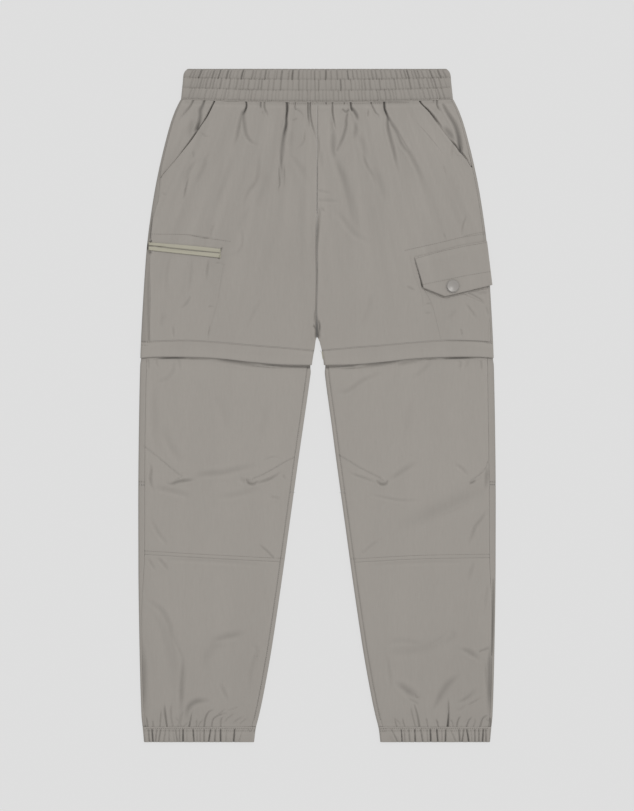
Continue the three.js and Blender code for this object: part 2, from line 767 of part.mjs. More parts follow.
function makeCargoPocket() {
  const flapTop = (x) => {
    const left = flapRows[0];
    const right = flapRows.at(-1);
    return mix(left.topDown, right.topDown, (x - left.topX) / (right.topX - left.topX));
  };
  const pocketIn = (down) => read(pocketRows, "down", "x", down);
  const sideSeam = sideSeamOf("left");
  const pocketOut = (down) => sideSeam(down) - seamGap;
  const topAt = (x) => flapTop(x) + pocketBelowFlap;
  const bottomAt = (x) => bandTopAt(x) - seamGap;
  const pocket = overlayRows({
    side: 1,
    columns: 8,
    parts: evenParts(9),
    at: (t, part) => settle((down) => mix(pocketIn(down), pocketOut(down), t), topAt, bottomAt, part),
    gap: flat(overlayGap),
    thick: pocketThick,
  });
  addPiece("cargoPocket", sweepWall(pocket, false), cloth);

  const overPocket = overlayGap + pocketThick + overlayGap;
  const flapAt = (t, part) => {
    const row = (column) => readStraight(flapRows, "part", column, t);
    return { x: mix(row("topX"), row("lowX"), part), down: mix(row("topDown"), row("lowDown"), part) };
  };
  const flapGap = (t, part) => {
    const fall = flapAt(t, part).down - flapAt(t, 0).down;
    const lift = flapLift * ease(flapLiftFrom, flapLiftTo, fall);
    return mix(overlayGap, overPocket, ease(1, flapRamp, fall)) + lift;
  };
  const flap = overlayRows({
    side: 1,
    columns: 16,
    parts: [0, 0.07, 0.13, 0.2, 0.45, 0.7, 1],
    at: flapAt,
    gap: flapGap,
    thick: flapThick,
  });
  addPiece("cargoFlap", sweepWall(flap, false), cloth);

  const profile = [
    [0, 0],
    [snapRadius, 0],
    [snapRadius, 0.5 * snapHeight],
    [0.92 * snapRadius, 0.85 * snapHeight],
    [0.82 * snapRadius, snapHeight],
    [0.7 * snapRadius, 0.85 * snapHeight],
    [0.45 * snapRadius, snapDish],
    [0, snapDish],
  ];
  const cap = new THREE.LatheGeometry(profile.map(([r, h]) => new THREE.Vector2(r, h)), 20);
  const seat = frontHeight(snapX, snapDown) + overPocket + flapLift + flapThick + overlayGap;
  cap.rotateX(Math.PI / 2);
  cap.translate(snapX, garmentLength / 2 - snapDown, seat);
  addPiece("snapCap", facingOut(cap), snapPaint);
}

makeWaistband();
const halves = [
  { side: -1, word: "right" },
  { side: 1, word: "left" },
];
for (const { side, word } of halves) {
  makeShortsHalf(side, word);
  makeBandAndZip(side, word);
  makeLowerLeg(side, word);
  makeCuff(side, word);
}
makeZipPocket();
makeCargoPocket();

export default trousers;
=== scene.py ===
import math
import bpy
import numpy as np
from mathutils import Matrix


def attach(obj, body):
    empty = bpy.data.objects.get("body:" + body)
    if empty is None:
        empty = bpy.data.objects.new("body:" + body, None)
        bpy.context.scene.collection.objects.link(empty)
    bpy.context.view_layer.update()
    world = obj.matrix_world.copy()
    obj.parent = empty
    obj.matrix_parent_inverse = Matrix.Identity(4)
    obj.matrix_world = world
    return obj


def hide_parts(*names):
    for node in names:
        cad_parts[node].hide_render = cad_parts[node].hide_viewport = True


# Zip-off trousers in a child's size, laid flat with the front up.
# Sizes are millimetres until a mesh is made. x runs across from the centre line, positive on
# the wearer's left. down is the distance below the waist's top edge, z the height off the table.

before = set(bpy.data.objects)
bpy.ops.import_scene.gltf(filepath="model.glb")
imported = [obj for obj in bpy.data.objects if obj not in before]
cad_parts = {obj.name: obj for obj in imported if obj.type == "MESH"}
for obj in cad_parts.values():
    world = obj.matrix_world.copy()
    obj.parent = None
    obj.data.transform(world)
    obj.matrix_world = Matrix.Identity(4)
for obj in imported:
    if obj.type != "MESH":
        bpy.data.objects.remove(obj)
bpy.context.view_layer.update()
mm = 0.001
garmentLength = 740.0
photoScale = 1.10     # millimetres per pixel of the photo
photoCentre = 316.4   # pixel column of the centre line
photoTop = 69.0       # pixel row of the waist's top edge
halves = [(-1, "right"), (1, "left")]

layers = {
    "inside": 2.4,        # plain underside of a front panel
    "lowest": 2.9,        # a front's face at the bottom of its deepest fold
    "front": 4.2,         # lowest height of a front panel's face
    "puff": 1.2,          # how far a leg's front swells in the middle
    "rootLift": 0.9,      # extra height under the waistband, where the pleats start
    "rootReach": 22.0,    # how far below the waistband that height lasts
    "seam": 0.1,          # between two pieces sewn together
    "underBand": 5.0,     # how far a leg reaches up under its cover band
}

# Outline and seams, each a curve through a few sizes
outerEdge = {
    "down": [33, 40, 47, 60, 80, 105, 130, 160, 190, 220, 260, 298, 335, 400, 463, 535, 562, 600,
             661, 711, 725, 740],
    "out": [149.8, 153.4, 156.6, 161.2, 166.7, 172.7, 177.8, 182.7, 186.6, 189.1, 191.6, 193.6,
            194.8, 196, 196.6, 196.5, 196.4, 195.9, 194.7, 193.1, 191.7, 190.3],
}
sideWrap = {   # how far each back rolls onto its front
    "down": [33, 108, 128, 144, 153, 168, 188, 221, 243, 265, 298, 316, 535, 562, 600, 740],
    "right": [2.8, 2.8, 4.2, 5.9, 4.6, 3.1, 4, 5.3, 7.4, 8.6, 8.9, 7.2, 6.8, 5.2, 3, 3],
    "left": [2.8] * 11 + [6.8, 6.8, 5.6, 3, 3],
}
inseamWrap = 4.8
fork = {"down": 294.6, "gap": 0.05}   # where the legs part, and half the gap above it
innerEdge = {
    "down": [294.6, 298, 305, 318, 364, 430, 496, 562, 628, 661, 694, 711, 725, 740],
    "in": [0.15, 1.4, 2.3, 4.6, 11, 20.5, 29.6, 38.7, 48.4, 53.9, 60.1, 63.8, 67.3, 69.2],
}
leftInset = {   # how much farther from the middle the left leg's inner edge lies
    "down": [294.6, 300, 309, 342, 386, 430, 500, 740], "by": [0, 1.2, 2.2, 1.4, 1.2, 0.65, 0.6, 0.45],
}
hipPockets = {   # each pocket's slant opening, and where its side-front ends
    "right": {"end": 119.2, "down": [33, 41, 53, 64, 78, 90, 103, 117, 121, 130],
              "out": [110.6, 114.3, 120.4, 128, 137.3, 146.9, 157.5, 169.8, 173.3, 200]},
    "left": {"end": 106.6, "down": [33, 38, 48, 58, 69, 80, 93, 102, 109, 120],
             "out": [110.6, 113.4, 123, 130.4, 139, 147.6, 158.2, 165.6, 171.5, 200]},
}
waistHalf = {"down": [0, 2.5, 6, 14, 36], "half": [142.6, 145.2, 146.8, 147.6, 149.9]}
waistDepth = {"middle": 37.0, "side": 33.8, "half": 150.0}
bandEdges = {
    "down": 312.0,
    "across": [0, 0.2, 0.37, 0.55, 0.72, 0.9, 1],
    "top": [309.3, 305.8, 303.3, 300.3, 298.2, 298.9, 300.2],
    "bottom": [325.6, 324.8, 322.0, 318.3, 316.8, 316.6, 317.8],
}
kneeSeams = {
    "down": 500.0,
    "across": [0, 0.5, 1],
    "right": [542.3, 538, 533.2],
    "left": [543, 538.5, 537.2],
    "back": [465, 461, 457],
}


def mix(a, b, t):
    return a + (b - a) * t


def ease(low, high, v):
    t = np.clip((v - low) / (high - low), 0, 1)
    return t * t * (3 - 2 * t)


def curve(table, key, column, at):
    keys = np.asarray(table[key], float)
    values = np.asarray(table[column], float)
    at = np.asarray(at, float)
    slopes = np.empty_like(values)
    slopes[1:-1] = (values[2:] - values[:-2]) / (keys[2:] - keys[:-2])
    slopes[0] = (values[1] - values[0]) / (keys[1] - keys[0])
    slopes[-1] = (values[-1] - values[-2]) / (keys[-1] - keys[-2])
    i = np.clip(np.searchsorted(keys, at, side="right") - 1, 0, len(keys) - 2)
    span = keys[i + 1] - keys[i]
    t = np.clip((at - keys[i]) / span, 0, 1)
    bend = slopes[i] * span * t * (1 - t) ** 2 - slopes[i + 1] * span * t * t * (1 - t)
    return mix(values[i], values[i + 1], t * t * (3 - 2 * t)) + bend


def outerAt(down):
    return curve(outerEdge, "down", "out", down)


def innerAt(down):
    return np.where(np.asarray(down) <= fork["down"], fork["gap"], curve(innerEdge, "down", "in", down))


def innerOf(word):
    if word == "right":
        return innerAt
    return lambda down: innerAt(down) + curve(leftInset, "down", "by", down)


def sideSeamOf(word):
    return lambda down: outerAt(down) - curve(sideWrap, "down", word, down)


def toWaistSide(x):
    return np.clip(np.abs(x) / waistDepth["half"], 0, 1) ** 2


def waistBottom(x):
    return mix(waistDepth["middle"], waistDepth["side"], toWaistSide(x))


def acrossLeg(x, down):
    inner = innerAt(down)
    return np.clip((np.abs(x) - inner) / (outerAt(down) - inner), 0, 1)


def seamAt(table, column, x):
    return curve(table, "across", column, acrossLeg(x, table["down"]))


def bandTopAt(x):
    return seamAt(bandEdges, "top", x)


def bandBottomAt(x):
    return seamAt(bandEdges, "bottom", x)


def fromPhoto(px, py):
    return (px - photoCentre) * photoScale, (py - photoTop) * photoScale


# Relief of the front, as height maps over the garment that every piece samples
mapGrid = {"pitch": 0.5, "left": -200.0, "top": -3.0, "columns": 801, "rows": 1496}
mapX = mapGrid["left"] + mapGrid["pitch"] * np.arange(mapGrid["columns"])
mapDown = mapGrid["top"] + mapGrid["pitch"] * np.arange(mapGrid["rows"])
fold = {
    "reach": 3.4,                 # all in widths of the fold: how far from its route it is drawn
    "flatness": 2.4,
    "bankHeight": 0.25,           # the banks beside a trough, as a part of its depth
    "bankPlace": 1.9,
    "bankWidth": 0.8,
    "shadeWidth": 0.8,
    "shadeSlope": 0.1,            # how much painted shade each millimetre of depth adds
    "shadeJump": 0.9,             # and how much darker a deep fold is
    "shadeDepths": (0.6, 2.4),
    "fadeIn": 0.35,               # parts of the route over which a free end dies out
    "fadeOut": 0.55,
}


def blend(field, u, v, soften=lambda t: t):
    i = u.astype(int)
    j = v.astype(int)
    fu = soften(u - i)
    fv = soften(v - j)
    upper = field[j, i] * (1 - fu) + field[j, i + 1] * fu
    lower = field[j + 1, i] * (1 - fu) + field[j + 1, i + 1] * fu
    return upper * (1 - fv) + lower * fv


def sample(field, x, down):
    u = np.clip((x - mapGrid["left"]) / mapGrid["pitch"], 0, mapGrid["columns"] - 1.001)
    v = np.clip((down - mapGrid["top"]) / mapGrid["pitch"], 0, mapGrid["rows"] - 1.001)
    return blend(field, u, v)


def softNoise(seed, wide, tall):
    u = (mapX - mapGrid["left"]) / wide
    v = (mapDown - mapGrid["top"]) / tall
    spots = np.random.default_rng(seed).uniform(-1, 1, (int(v[-1]) + 3, int(u[-1]) + 3))
    return blend(spots, u[None, :], v[:, None], lambda t: ease(0, 1, t))


def smoothRoute(route, steps=6):
    points = np.array(route, float)
    if len(points) == 2:
        return points[0] + np.linspace(0, 1, steps + 1)[:, None] * (points[1] - points[0])
    padded = np.vstack([2 * points[0] - points[1], points, 2 * points[-1] - points[-2]])
    pieces = []
    for k in range(1, len(padded) - 2):
        a, b, c, d = padded[k - 1:k + 3]
        t = (np.arange(steps) / steps)[:, None]
        pieces.append(0.5 * (2 * b + (c - a) * t + (2 * a - 5 * b + 4 * c - d) * t * t
                             + (3 * b - a - 3 * c + d) * t ** 3))
    return np.vstack(pieces + [points[-1:]])


def evenly(given, count):
    given = np.atleast_1d(given)
    return np.interp(np.linspace(0, 1, count), np.linspace(0, 1, len(given)), given)


def carved(rows):
    # Each row cuts a trough along its route, or raises a ridge where its depth is negative, and paints shade
    # along a trough's core.
    # It is full at an end rooted in a seam and dies out at a free one.
    shape = (mapGrid["rows"], mapGrid["columns"])
    relief = {name: np.zeros(shape, np.float32) for name in ("valley", "ridge", "shade")}
    for root, width, depth, *route in rows:
        points = smoothRoute([fromPhoto(px, py) for px, py in route])
        widths = evenly(width, len(points))
        depths = evenly(depth, len(points))
        reach = fold["reach"] * widths.max()
        low = points.min(axis=0) - reach
        high = points.max(axis=0) + reach
        i0, i1 = np.searchsorted(mapX, [low[0], high[0]])
        j0, j1 = np.searchsorted(mapDown, [low[1], high[1]])
        gx, gy = np.meshgrid(mapX[i0:i1], mapDown[j0:j1])
        steps = np.linalg.norm(np.diff(points, axis=0), axis=1)
        sums = np.concatenate([[0], np.cumsum(steps)]) / steps.sum()
        nearest = np.full(gx.shape, 1e9)
        along, wide, deep = np.zeros((3, *gx.shape))
        for k in range(len(points) - 1):
            startX, startDown = points[k]
            runX, runDown = points[k + 1] - points[k]
            t = ((gx - startX) * runX + (gy - startDown) * runDown) / (runX ** 2 + runDown ** 2)
            t = np.clip(t, 0, 1)
            gap = np.hypot(gx - startX - t * runX, gy - startDown - t * runDown)
            closer = gap < nearest
            nearest = np.where(closer, gap, nearest)
            along = np.where(closer, mix(sums[k], sums[k + 1], t), along)
            wide = np.where(closer, mix(widths[k], widths[k + 1], t), wide)
            deep = np.where(closer, mix(depths[k], depths[k + 1], t), deep)
        fade = np.ones(gx.shape)
        if root in ("none", "end"):
            fade *= ease(0, fold["fadeIn"], along)
        if root in ("none", "start"):
            fade *= 1 - ease(fold["fadeOut"], 1, along)
        far = nearest / wide
        trough = np.abs(deep) * fade * np.exp(-far ** fold["flatness"])
        bank = np.exp(-((far - fold["bankPlace"]) / fold["bankWidth"]) ** 2)
        bank = fold["bankHeight"] * deep * fade * bank
        # painted shade along the trough's core, darker for deeper folds
        dark = fold["shadeSlope"] * deep + fold["shadeJump"] * ease(*fold["shadeDepths"], deep)
        core = dark * fade * np.exp(-(far / fold["shadeWidth"]) ** 2)
        window = (slice(j0, j1), slice(i0, i1))
        if depths[0] < 0:
            relief["ridge"][window] += trough
            continue
        for name, field in (("valley", trough), ("ridge", bank), ("shade", core)):
            relief[name][window] = np.maximum(relief[name][window], field)
    return relief


# Folds and seam lines, placed over the photo; each cuts a trough and paints shade along it.
# Each row holds the end that starts at a seam, the width, the depth, and then the route in photo
# pixels. A list is spread evenly along the route.
rightHipFolds = [   # wearer's right, on the photo's left
    ("start", 1, [1.6, 1.1, 0.8], (192.6, 101), (190, 106), (186, 111), (183, 114.5), (176, 123)),
    ("both", [1, 1.5, 2.1, 1.9, 1.9, 1.6], [1.9, 1.5, 1.4, 1.4, 1.5, 2], (204.2, 100), (202.4, 105),
     (199.8, 110.5), (199.6, 116), (199, 121), (197, 129)),
    ("none", 3, 0.9, (192.5, 118), (189.5, 130), (188, 141)),
    ("none", 0.8, 0.6, (198.7, 131.5), (204.5, 136.5), (211.5, 138)),
    ("none", 1.2, 0.7, (192, 150), (192.5, 160)),
    ("none", [1.2, 2.4, 1.8], 0.8, (211, 152), (204.5, 159), (203, 166), (196, 181), (190, 192)),
    ("none", [1.4, 2.2], 0.8, (198, 157), (190, 168), (186, 177), (183, 194)),
    ("none", 1, 1.1, (188.5, 175), (186, 184), (183.5, 196), (182, 203)),
    ("none", 1.4, 0.7, (160, 193), (167, 196)),
    ("none", 1.3, 0.9, (160, 165), (159, 180), (158.5, 200)),
    ("none", 3.5, 0.5, (231, 150), (229, 168), (219, 195), (213, 215)),
    ("both", [0.65, 0.95, 1.6], [2.6, 2.4, 1.3], (245.4, 100.5), (245.9, 106.5), (244.4, 111),
     (241.8, 115.5)),
    ("start", [2.2, 1.7, 1.3], [1.2, 1.05, 0.7], (242.2, 113), (239.4, 122), (237.3, 131), (235.8, 138),
     (233.5, 144), (230, 153)),
    ("start", [2, 1.6, 1.3], [1.25, 1.05, 0.95, 0.8], (242.2, 113), (242.7, 121), (244.4, 131),
     (246.6, 138), (251, 142.5), (258, 145.5), (263, 147)),
    ("start", 1, 1.5, (260.2, 101), (260, 105), (260.4, 110)),
    ("start", 0.9, [1.5, 1.1, 0.8], (264, 101), (263.8, 108), (266, 113.5), (268.8, 119)),
    ("none", 0.9, 0.7, (261, 111), (262.5, 115)),
    ("none", [1.2, 2.6, 2, 1.8, 2.4], [0.6, 0.8, 0.9, 0.9, 0.7], (258.7, 143), (257.3, 166), (255, 181),
     (246.5, 194), (243.5, 203), (240, 216)),
    ("start", [1.8, 1.1, 1.2, 1.7, 2.3, 2.6, 2.2, 1.2, 2.2, 2.6],
     [1.9, 2.5, 1.9, 2, 1.45, 1.3, 1.3, 1.6, 1.05, 0.9], (286.2, 101), (286.5, 110), (285.7, 118),
     (285.4, 125.5), (283.6, 133.5), (282, 142), (281, 151), (280.7, 156.5), (280.5, 166), (281.5, 176),
     (282, 188)),
    ("none", 0.7, [1, 1.2, 1], (279.4, 158), (278.4, 170), (279, 184), (278, 188), (277.2, 198)),
    ("none", 0.7, 0.9, (283, 160), (283.6, 172), (283.3, 186), (281, 191)),
    ("none", 2.4, 0.5, (290.5, 128), (288.6, 142), (286, 152)),
    ("none", 2.6, 0.75, (282.6, 112), (281, 130), (279.6, 148), (279, 162)),
    ("none", 6, 0.4, (178, 118), (164, 165), (156, 235)),
    ("none", 0.9, 0.9, (291, 121), (297.5, 119.3)),
    ("none", [1.2, 3.4, 4], 0.5, (287.5, 152), (295.5, 163), (303, 175), (308, 188)),
    ("none", 1, 0.7, (304, 128), (303.8, 134), (302, 143.5), (293, 152)),
    ("start", 0.7, [1.5, 0.9, 0.8], (295, 101), (294.4, 109), (297.5, 110.8), (301.7, 115), (302.7, 121)),
    ("start", 0.85, [1.7, 1.2, 1], (307.2, 101), (307.5, 116), (308.3, 123.5), (307, 131)),
    ("start", 0.85, [1.7, 1.2, 1], (309.8, 101), (309.4, 112), (311, 123.5), (313.7, 133.5), (316.6, 143)),
    ("none", [3, 5], 0.5, (250, 205), (241, 222), (233, 240)),
    ("none", 4, 0.5, (268, 165), (262, 190), (252, 215)),
    ("none", 1.1, 0.9, (317.6, 132), (317.8, 147), (317.4, 166)),
]
leftHipFolds = [   # wearer's left
    ("start", 0.8, 1.6, (325.3, 101), (325.5, 106)),
    ("none", 2.2, 0.8, (329.5, 116), (331, 128), (331, 141)),
    ("start", 0.9, [1.6, 1.3, 1.1], (331.8, 101), (331.8, 113), (333.5, 123), (335.8, 134)),
    ("start", 0.8, 1.4, (343.5, 101), (343.5, 106)),
    ("both", 1, [1.1, 1.4], (342, 110), (345, 112.5), (347.6, 110.5)),
    ("both", [1, 1.4, 1.6, 1.5], [1.1, 1.2, 1.15, 0.9], (346.6, 114), (345.4, 120), (345, 127),
     (342.5, 136.5), (339, 145), (336, 151)),
    ("both", [1.1, 0.9], [2.1, 1.9], (349.8, 101), (350.4, 108), (351.5, 111)),
    ("start", [1.4, 1.6, 1.4], [1.6, 1.4, 1.1], (351.4, 109), (353.5, 112), (356, 117), (356.8, 123)),
    ("none", [1.6, 2.6], 1, (353.5, 120), (354.8, 130), (352, 142)),
    ("none", [2.4, 3, 2.8], [1, 1.1, 1], (332.6, 124), (332.2, 138), (332.6, 152), (336.4, 167)),
    ("none", 2, 0.6, (320, 148), (320.5, 172)),
    ("none", [3, 4.2, 4.6], [1.3, 1, 0.75, 0.7], (332, 150), (337.5, 165), (341.8, 177), (345.6, 190),
     (349, 205), (353.5, 221), (361, 236)),
    ("none", [1.4, 1.8], 0.8, (361, 144), (364, 162), (372.5, 178), (377, 192)),
    ("start", 1.2, 0.6, (318, 191), (331, 194)),
    ("start", 1.6, 0.6, (318, 201), (342, 202)),
    ("none", 1.2, 0.8, (320, 207), (324, 213)),
    ("none", 3, 0.6, (329, 207), (340, 217), (352, 233), (362, 239), (374, 246)),
    ("start", 0.9, 1.7, (370.2, 101), (370.6, 106)),
    ("start", 0.8, [1.2, 0.95, 0.8], (370.8, 105), (374.3, 112.5), (377.6, 116), (378, 121)),
    ("none", 1, 0.9, (367.5, 109), (366.8, 119)),
    ("both", [1.7, 1, 1.1, 1.3], [2.2, 2.5, 1.9, 1.5], (383.3, 101), (383.8, 109), (386, 115),
     (388, 120.5)),
    ("start", [1.7, 1.9, 1.5], [1.4, 1.25, 1.15, 0.95], (387, 119), (387, 128), (389.2, 138), (392.8, 152),
     (395.5, 165), (398.5, 178)),
    ("start", [1.6, 2, 2.4, 3.4], [1.25, 1.05, 0.95, 0.85, 0.75], (388, 119), (391, 125), (396, 133),
     (401, 145), (407.8, 153), (414, 165), (419, 176), (423, 190), (428, 203)),
    ("none", 0.8, 0.8, (396, 130), (404, 144), (411, 155)),
    ("none", 3, 0.7, (357, 133), (363, 150), (364.5, 164)),
    ("none", 4, 0.7, (370, 165), (380, 185), (386, 208)),
    ("start", 0.8, [1.9, 1.5, 1], (436, 100), (436.6, 107), (441, 113)),
    ("start", 0.7, 1.4, (432.6, 100), (432.8, 104)),
    ("both", [1.5, 2, 2.6, 2.6, 2], [1.15, 1.35, 1.45, 1.6, 2.1], (442, 105), (447, 114), (453.6, 124.6),
     (457.2, 135), (458.8, 145), (459.6, 151)),
    ("none", [1.6, 3, 2.6], 1.15, (441.5, 125.5), (448, 133.5), (455, 143)),
    ("none", 0.6, 0.5, (410, 118), (424, 132), (447, 160)),
    ("none", 1.1, 0.7, (452, 138), (450, 162)),
    ("none", 1.1, 0.5, (442, 164), (445, 177)),
    ("none", 0.9, 0.8, (467, 213), (462, 225), (460, 239)),
    ("none", 1, 0.6, (442, 232), (445, 241)),
]
crotchFolds = [   # the crotch, where the legs part
    ("both", [1.7, 1.9, 1.2, 0.9, 0.9, 1, 1.7, 2.4], [0.7, 1.4, 1.35, 1.3, 1.3, 1.45, 1.9, 2.3],
     (318.2, 210), (316.7, 228), (315.8, 250), (316.1, 275), (315.6, 300), (315.5, 315), (316.1, 326),
     (316.5, 336)),
    ("none", 0.7, 1.3, (315.4, 306), (313.8, 316), (313.6, 327)),
    ("none", 0.8, 1.7, (317, 318), (319, 326), (318.8, 335)),
    ("both", 0.8, 1.7, (313, 325.5), (316.5, 331)),
    ("both", 0.45, [0.8, 1, 1.1], (316.9, 103), (316.7, 150), (316.4, 214)),
]
waistSeamShadows = [   # shallow grooves with painted shadow, just below the waistband's lower edge
    ("both", 2, 0.6, (184, 103), (250, 104.5), (316, 105), (380, 104.5), (450, 103)),
    ("none", 0.5, 0.95, (216, 101.6), (231, 102.2), (247, 102.4)),
    ("none", 0.5, 0.95, (354, 103), (385, 102.7), (419, 101.8)),
]
openingShadows = [   # the side-fronts sink beside the openings
    ("start", [0.9, 1.2, 1, 0.65, 1, 1.2, 0.8, 0.6], [2.6, 2.6, 2.3, 1.6, 2.6, 2.6, 2.2, 1.6], (214.8, 100),
     (212.8, 105), (209.2, 112), (204.6, 120), (201, 125.7), (196.6, 132), (191.4, 139.5), (185.6, 147),
     (175, 160)),
    ("start", [0.9, 0.7, 1.1, 1.3, 0.8, 0.6], [2.3, 1.8, 1.8, 1.7, 1.4, 1.1], (418.4, 100), (421.4, 105),
     (427.4, 111), (433, 117.5), (439, 124.8), (446.4, 134)),
    ("none", [1.2, 1.9, 1.2], [1.2, 1.7, 1.6], (199.5, 118), (196.8, 127), (192.5, 135)),
    ("none", [0.7, 1.2, 1.2, 0.6], [1.3, 1.9, 2, 1], (447.2, 136.6), (454.2, 145.2), (460.6, 153),
     (470, 164)),
]
zipPocketFolds = [   # beside the zip pocket
    ("none", 1.5, [0.4, 0.6, 0.75], (239, 218), (241.5, 240), (239.5, 249), (233, 255), (221, 257.5)),
    ("both", [0.5, 0.7], [1.1, 1.3], (151.8, 214), (151, 224), (149.5, 238)),
    ("both", 0.9, 2.1, (146.5, 241), (150.5, 241.5)),
    ("both", 0.8, 1.6, (147, 252), (150.5, 252.5)),
    ("end", [1, 1.7, 1.5], [0.8, 1, 1], (149.3, 256), (147, 275), (146.8, 300), (147.2, 322), (147.9, 340)),
    ("both", 1.3, 2.1, (147.2, 243.6), (147, 249.5)),
    ("both", 0.5, 0.9, (149, 245.9), (165, 247)),
    ("none", 1.5, 0.8, (150, 248.4), (180, 250.6), (216, 254.2)),
    ("none", 0.8, [0.7, 1, 0.6], (183, 235), (205, 238.2), (226, 241.6)),
    ("none", 1.2, 0.7, (214, 222), (210.5, 232), (209, 241)),
    ("none", [1.1, 1.4], [1, 0.7], (209, 257), (206.5, 268), (205.5, 284)),
    ("none", 1.2, 0.8, (190.5, 294), (186, 303), (178, 311)),
    ("none", [1.2, 2.2, 1.4], 0.5, (171, 254), (166, 270), (164, 300)),
    ("none", [1.2, 2, 1.4], 0.5, (192, 255), (189.5, 275), (186, 300)),
    ("none", 1.2, 0.7, (172, 325), (173, 339)),
    ("none", 3, 0.6, (164, 312), (158, 330)),
    ("both", 0.5, 1.4, (221.3, 248), (219.8, 251.7)),
    ("both", 0.5, 1.4, (219.6, 255), (218, 259)),
    ("none", 0.6, 0.8, (213, 262.5), (227, 265)),
    ("both", 0.45, 0.9, (208, 306), (214, 307.5)),
    ("none", 0.7, [0.7, 1.2], (210.5, 322), (208.5, 330), (206.8, 339)),
    ("both", 0.8, 0.4, (223, 266), (219, 287), (216, 305), (212, 318), (209, 333), (207, 340)),
    ("none", 2, 0.5, (262, 296), (250, 318), (243, 336)),
]
cargoPocketFolds = [   # beside the cargo pocket
    ("none", 0.9, 0.9, (405, 286), (415, 291)),
    ("both", [0.22, 0.28, 0.42, 0.6], [0.9, 1.3, 1.9, 2.6], (413.9, 259), (416.6, 268), (419.6, 278),
     (421.6, 286.8)),
    ("both", 0.45, 1.3, (425.4, 303.6), (429.6, 303.2)),
    ("both", 0.45, 0.8, (425.4, 313), (429.6, 312.6)),
    ("both", 0.8, 0.4, (409, 257), (413, 275), (419, 290), (422, 304)),
    ("none", 3, 0.5, (372, 290), (366, 312), (356, 332)),
]
bandShadows = [   # each leg hangs free below its cover band's hem
    ("none", [0.5, 0.9, 0.9, 0.5], [1.6, 2.1, 2, 1.4], (152, 358.4), (165, 357.9), (180, 357.8),
     (196, 358.6)),
    ("none", 0.5, 1.2, (180, 358.4), (200, 358.6), (218, 359.3)),
    ("none", [1.2, 2.3, 2.3, 1.8], [0.9, 1.15, 1.2, 1], (205, 359.5), (226, 360.6), (248, 364),
     (272, 366.2)),
    ("end", [0.7, 1, 1], [1.2, 1.8, 2], (252, 363.2), (280, 366.1), (309, 367)),
    ("none", 0.5, 1.2, (238, 364.6), (262, 366.6), (290, 369)),
    ("start", [1, 1, 0.7], [1.8, 1.6, 1.2], (322, 367.2), (344, 366.2), (368, 363.8)),
    ("none", [1.6, 2.3, 2.2, 1.4], [1, 1.2, 1.15, 0.9], (350, 366.8), (372, 364.8), (390, 362.2),
     (414, 359.8)),
    ("none", 0.5, 1.2, (334, 369), (352, 368), (374, 366.5)),
    ("none", [2.8, 1.8], 1, (392, 365.2), (406, 362.2), (424, 359.6)),
    ("none", 0.5, 1.4, (405, 360.2), (425, 358.9), (445, 358.6)),
    ("none", [0.5, 0.9, 0.9, 0.5], [1.6, 2.1, 2.1, 1.5], (436, 358.6), (452, 358), (466, 357.7),
     (481, 357.8)),
]
rightKneeFolds = [   # wearer's right
    ("start", 1, 0.7, (147.5, 360), (148, 371)),
    ("start", 1.2, 0.6, (155, 360), (157.5, 369)),
    ("none", 2.2, 0.65, (171, 358), (172.5, 368), (168, 377), (158, 383), (151, 386)),
    ("start", 1.6, 0.5, (178, 360), (179, 371)),
    ("none", 4.5, 0.6, (155, 378), (153, 405), (154, 435), (158, 455)),
    ("none", 4, 0.55, (160, 425), (170, 447), (184, 468)),
    ("both", 0.42, 0.85, (143, 446), (152, 452.5), (160, 459), (170, 467.5), (180, 475.5)),
    ("both", 0.5, 0.8, (176, 479), (181, 476.5), (180, 474)),
    ("none", [1, 1.6, 1.8, 1.4], [1.2, 1.25, 1.25, 1.1], (164, 481), (170, 484), (178, 481.5), (190, 480),
     (198, 479)),
    ("none", [0.9, 1.7, 1.5], [0.9, 1, 0.8], (147.5, 460), (150.5, 469), (149.5, 478), (151, 486),
     (156, 495)),
    ("none", [2.6, 3.2, 3.2, 2.6], [0.8, 0.85, 0.85, 0.75], (184, 480), (203, 474.6), (222, 473),
     (240, 468.6), (264, 463.5)),
    ("none", 0.9, 0.6, (262, 461), (272, 457), (281, 458.5)),
    ("both", 0.42, 0.95, (296, 456), (285, 461.5), (273, 468.5), (262, 474.5), (252, 478.5)),
    ("none", 1, -1.1, (247.5, 479.5), (250.5, 478), (254, 479.5)),
    ("both", [0.8, 1.6, 1.5, 0.7], [0.9, 1.35, 1.2, 0.9], (245.5, 479), (248, 483), (252.5, 484),
     (257, 481.5)),
    ("none", [1.3, 1.6, 1.2], 1.05, (252, 484.5), (262, 481.5), (271, 478), (283, 470)),
    ("none", 2.2, 0.7, (238, 478), (246, 483)),
    ("none", 3, 0.7, (148, 487), (170, 491), (196, 498)),
    ("none", 3, 0.6, (213, 499), (240, 494), (264, 488)),
    ("none", 1.4, 0.7, (282, 474), (284, 480)),
    ("none", 1.5, 0.6, (268, 497), (281, 499)),
    ("none", 2, 0.6, (150, 518), (158, 534), (170, 548)),
    ("none", 2.2, 0.5, (148, 558.5), (214, 561), (278, 566)),
    ("none", 2.2, 0.45, (354, 566), (420, 562), (486, 561)),
    ("end", [0.9, 1.2], 0.9, (257, 543), (265, 550), (272, 557)),
    ("none", 5, 0.4, (214, 392), (222, 410), (226, 436)),
    ("none", 5, 0.4, (268, 400), (262, 425), (258, 445)),
]
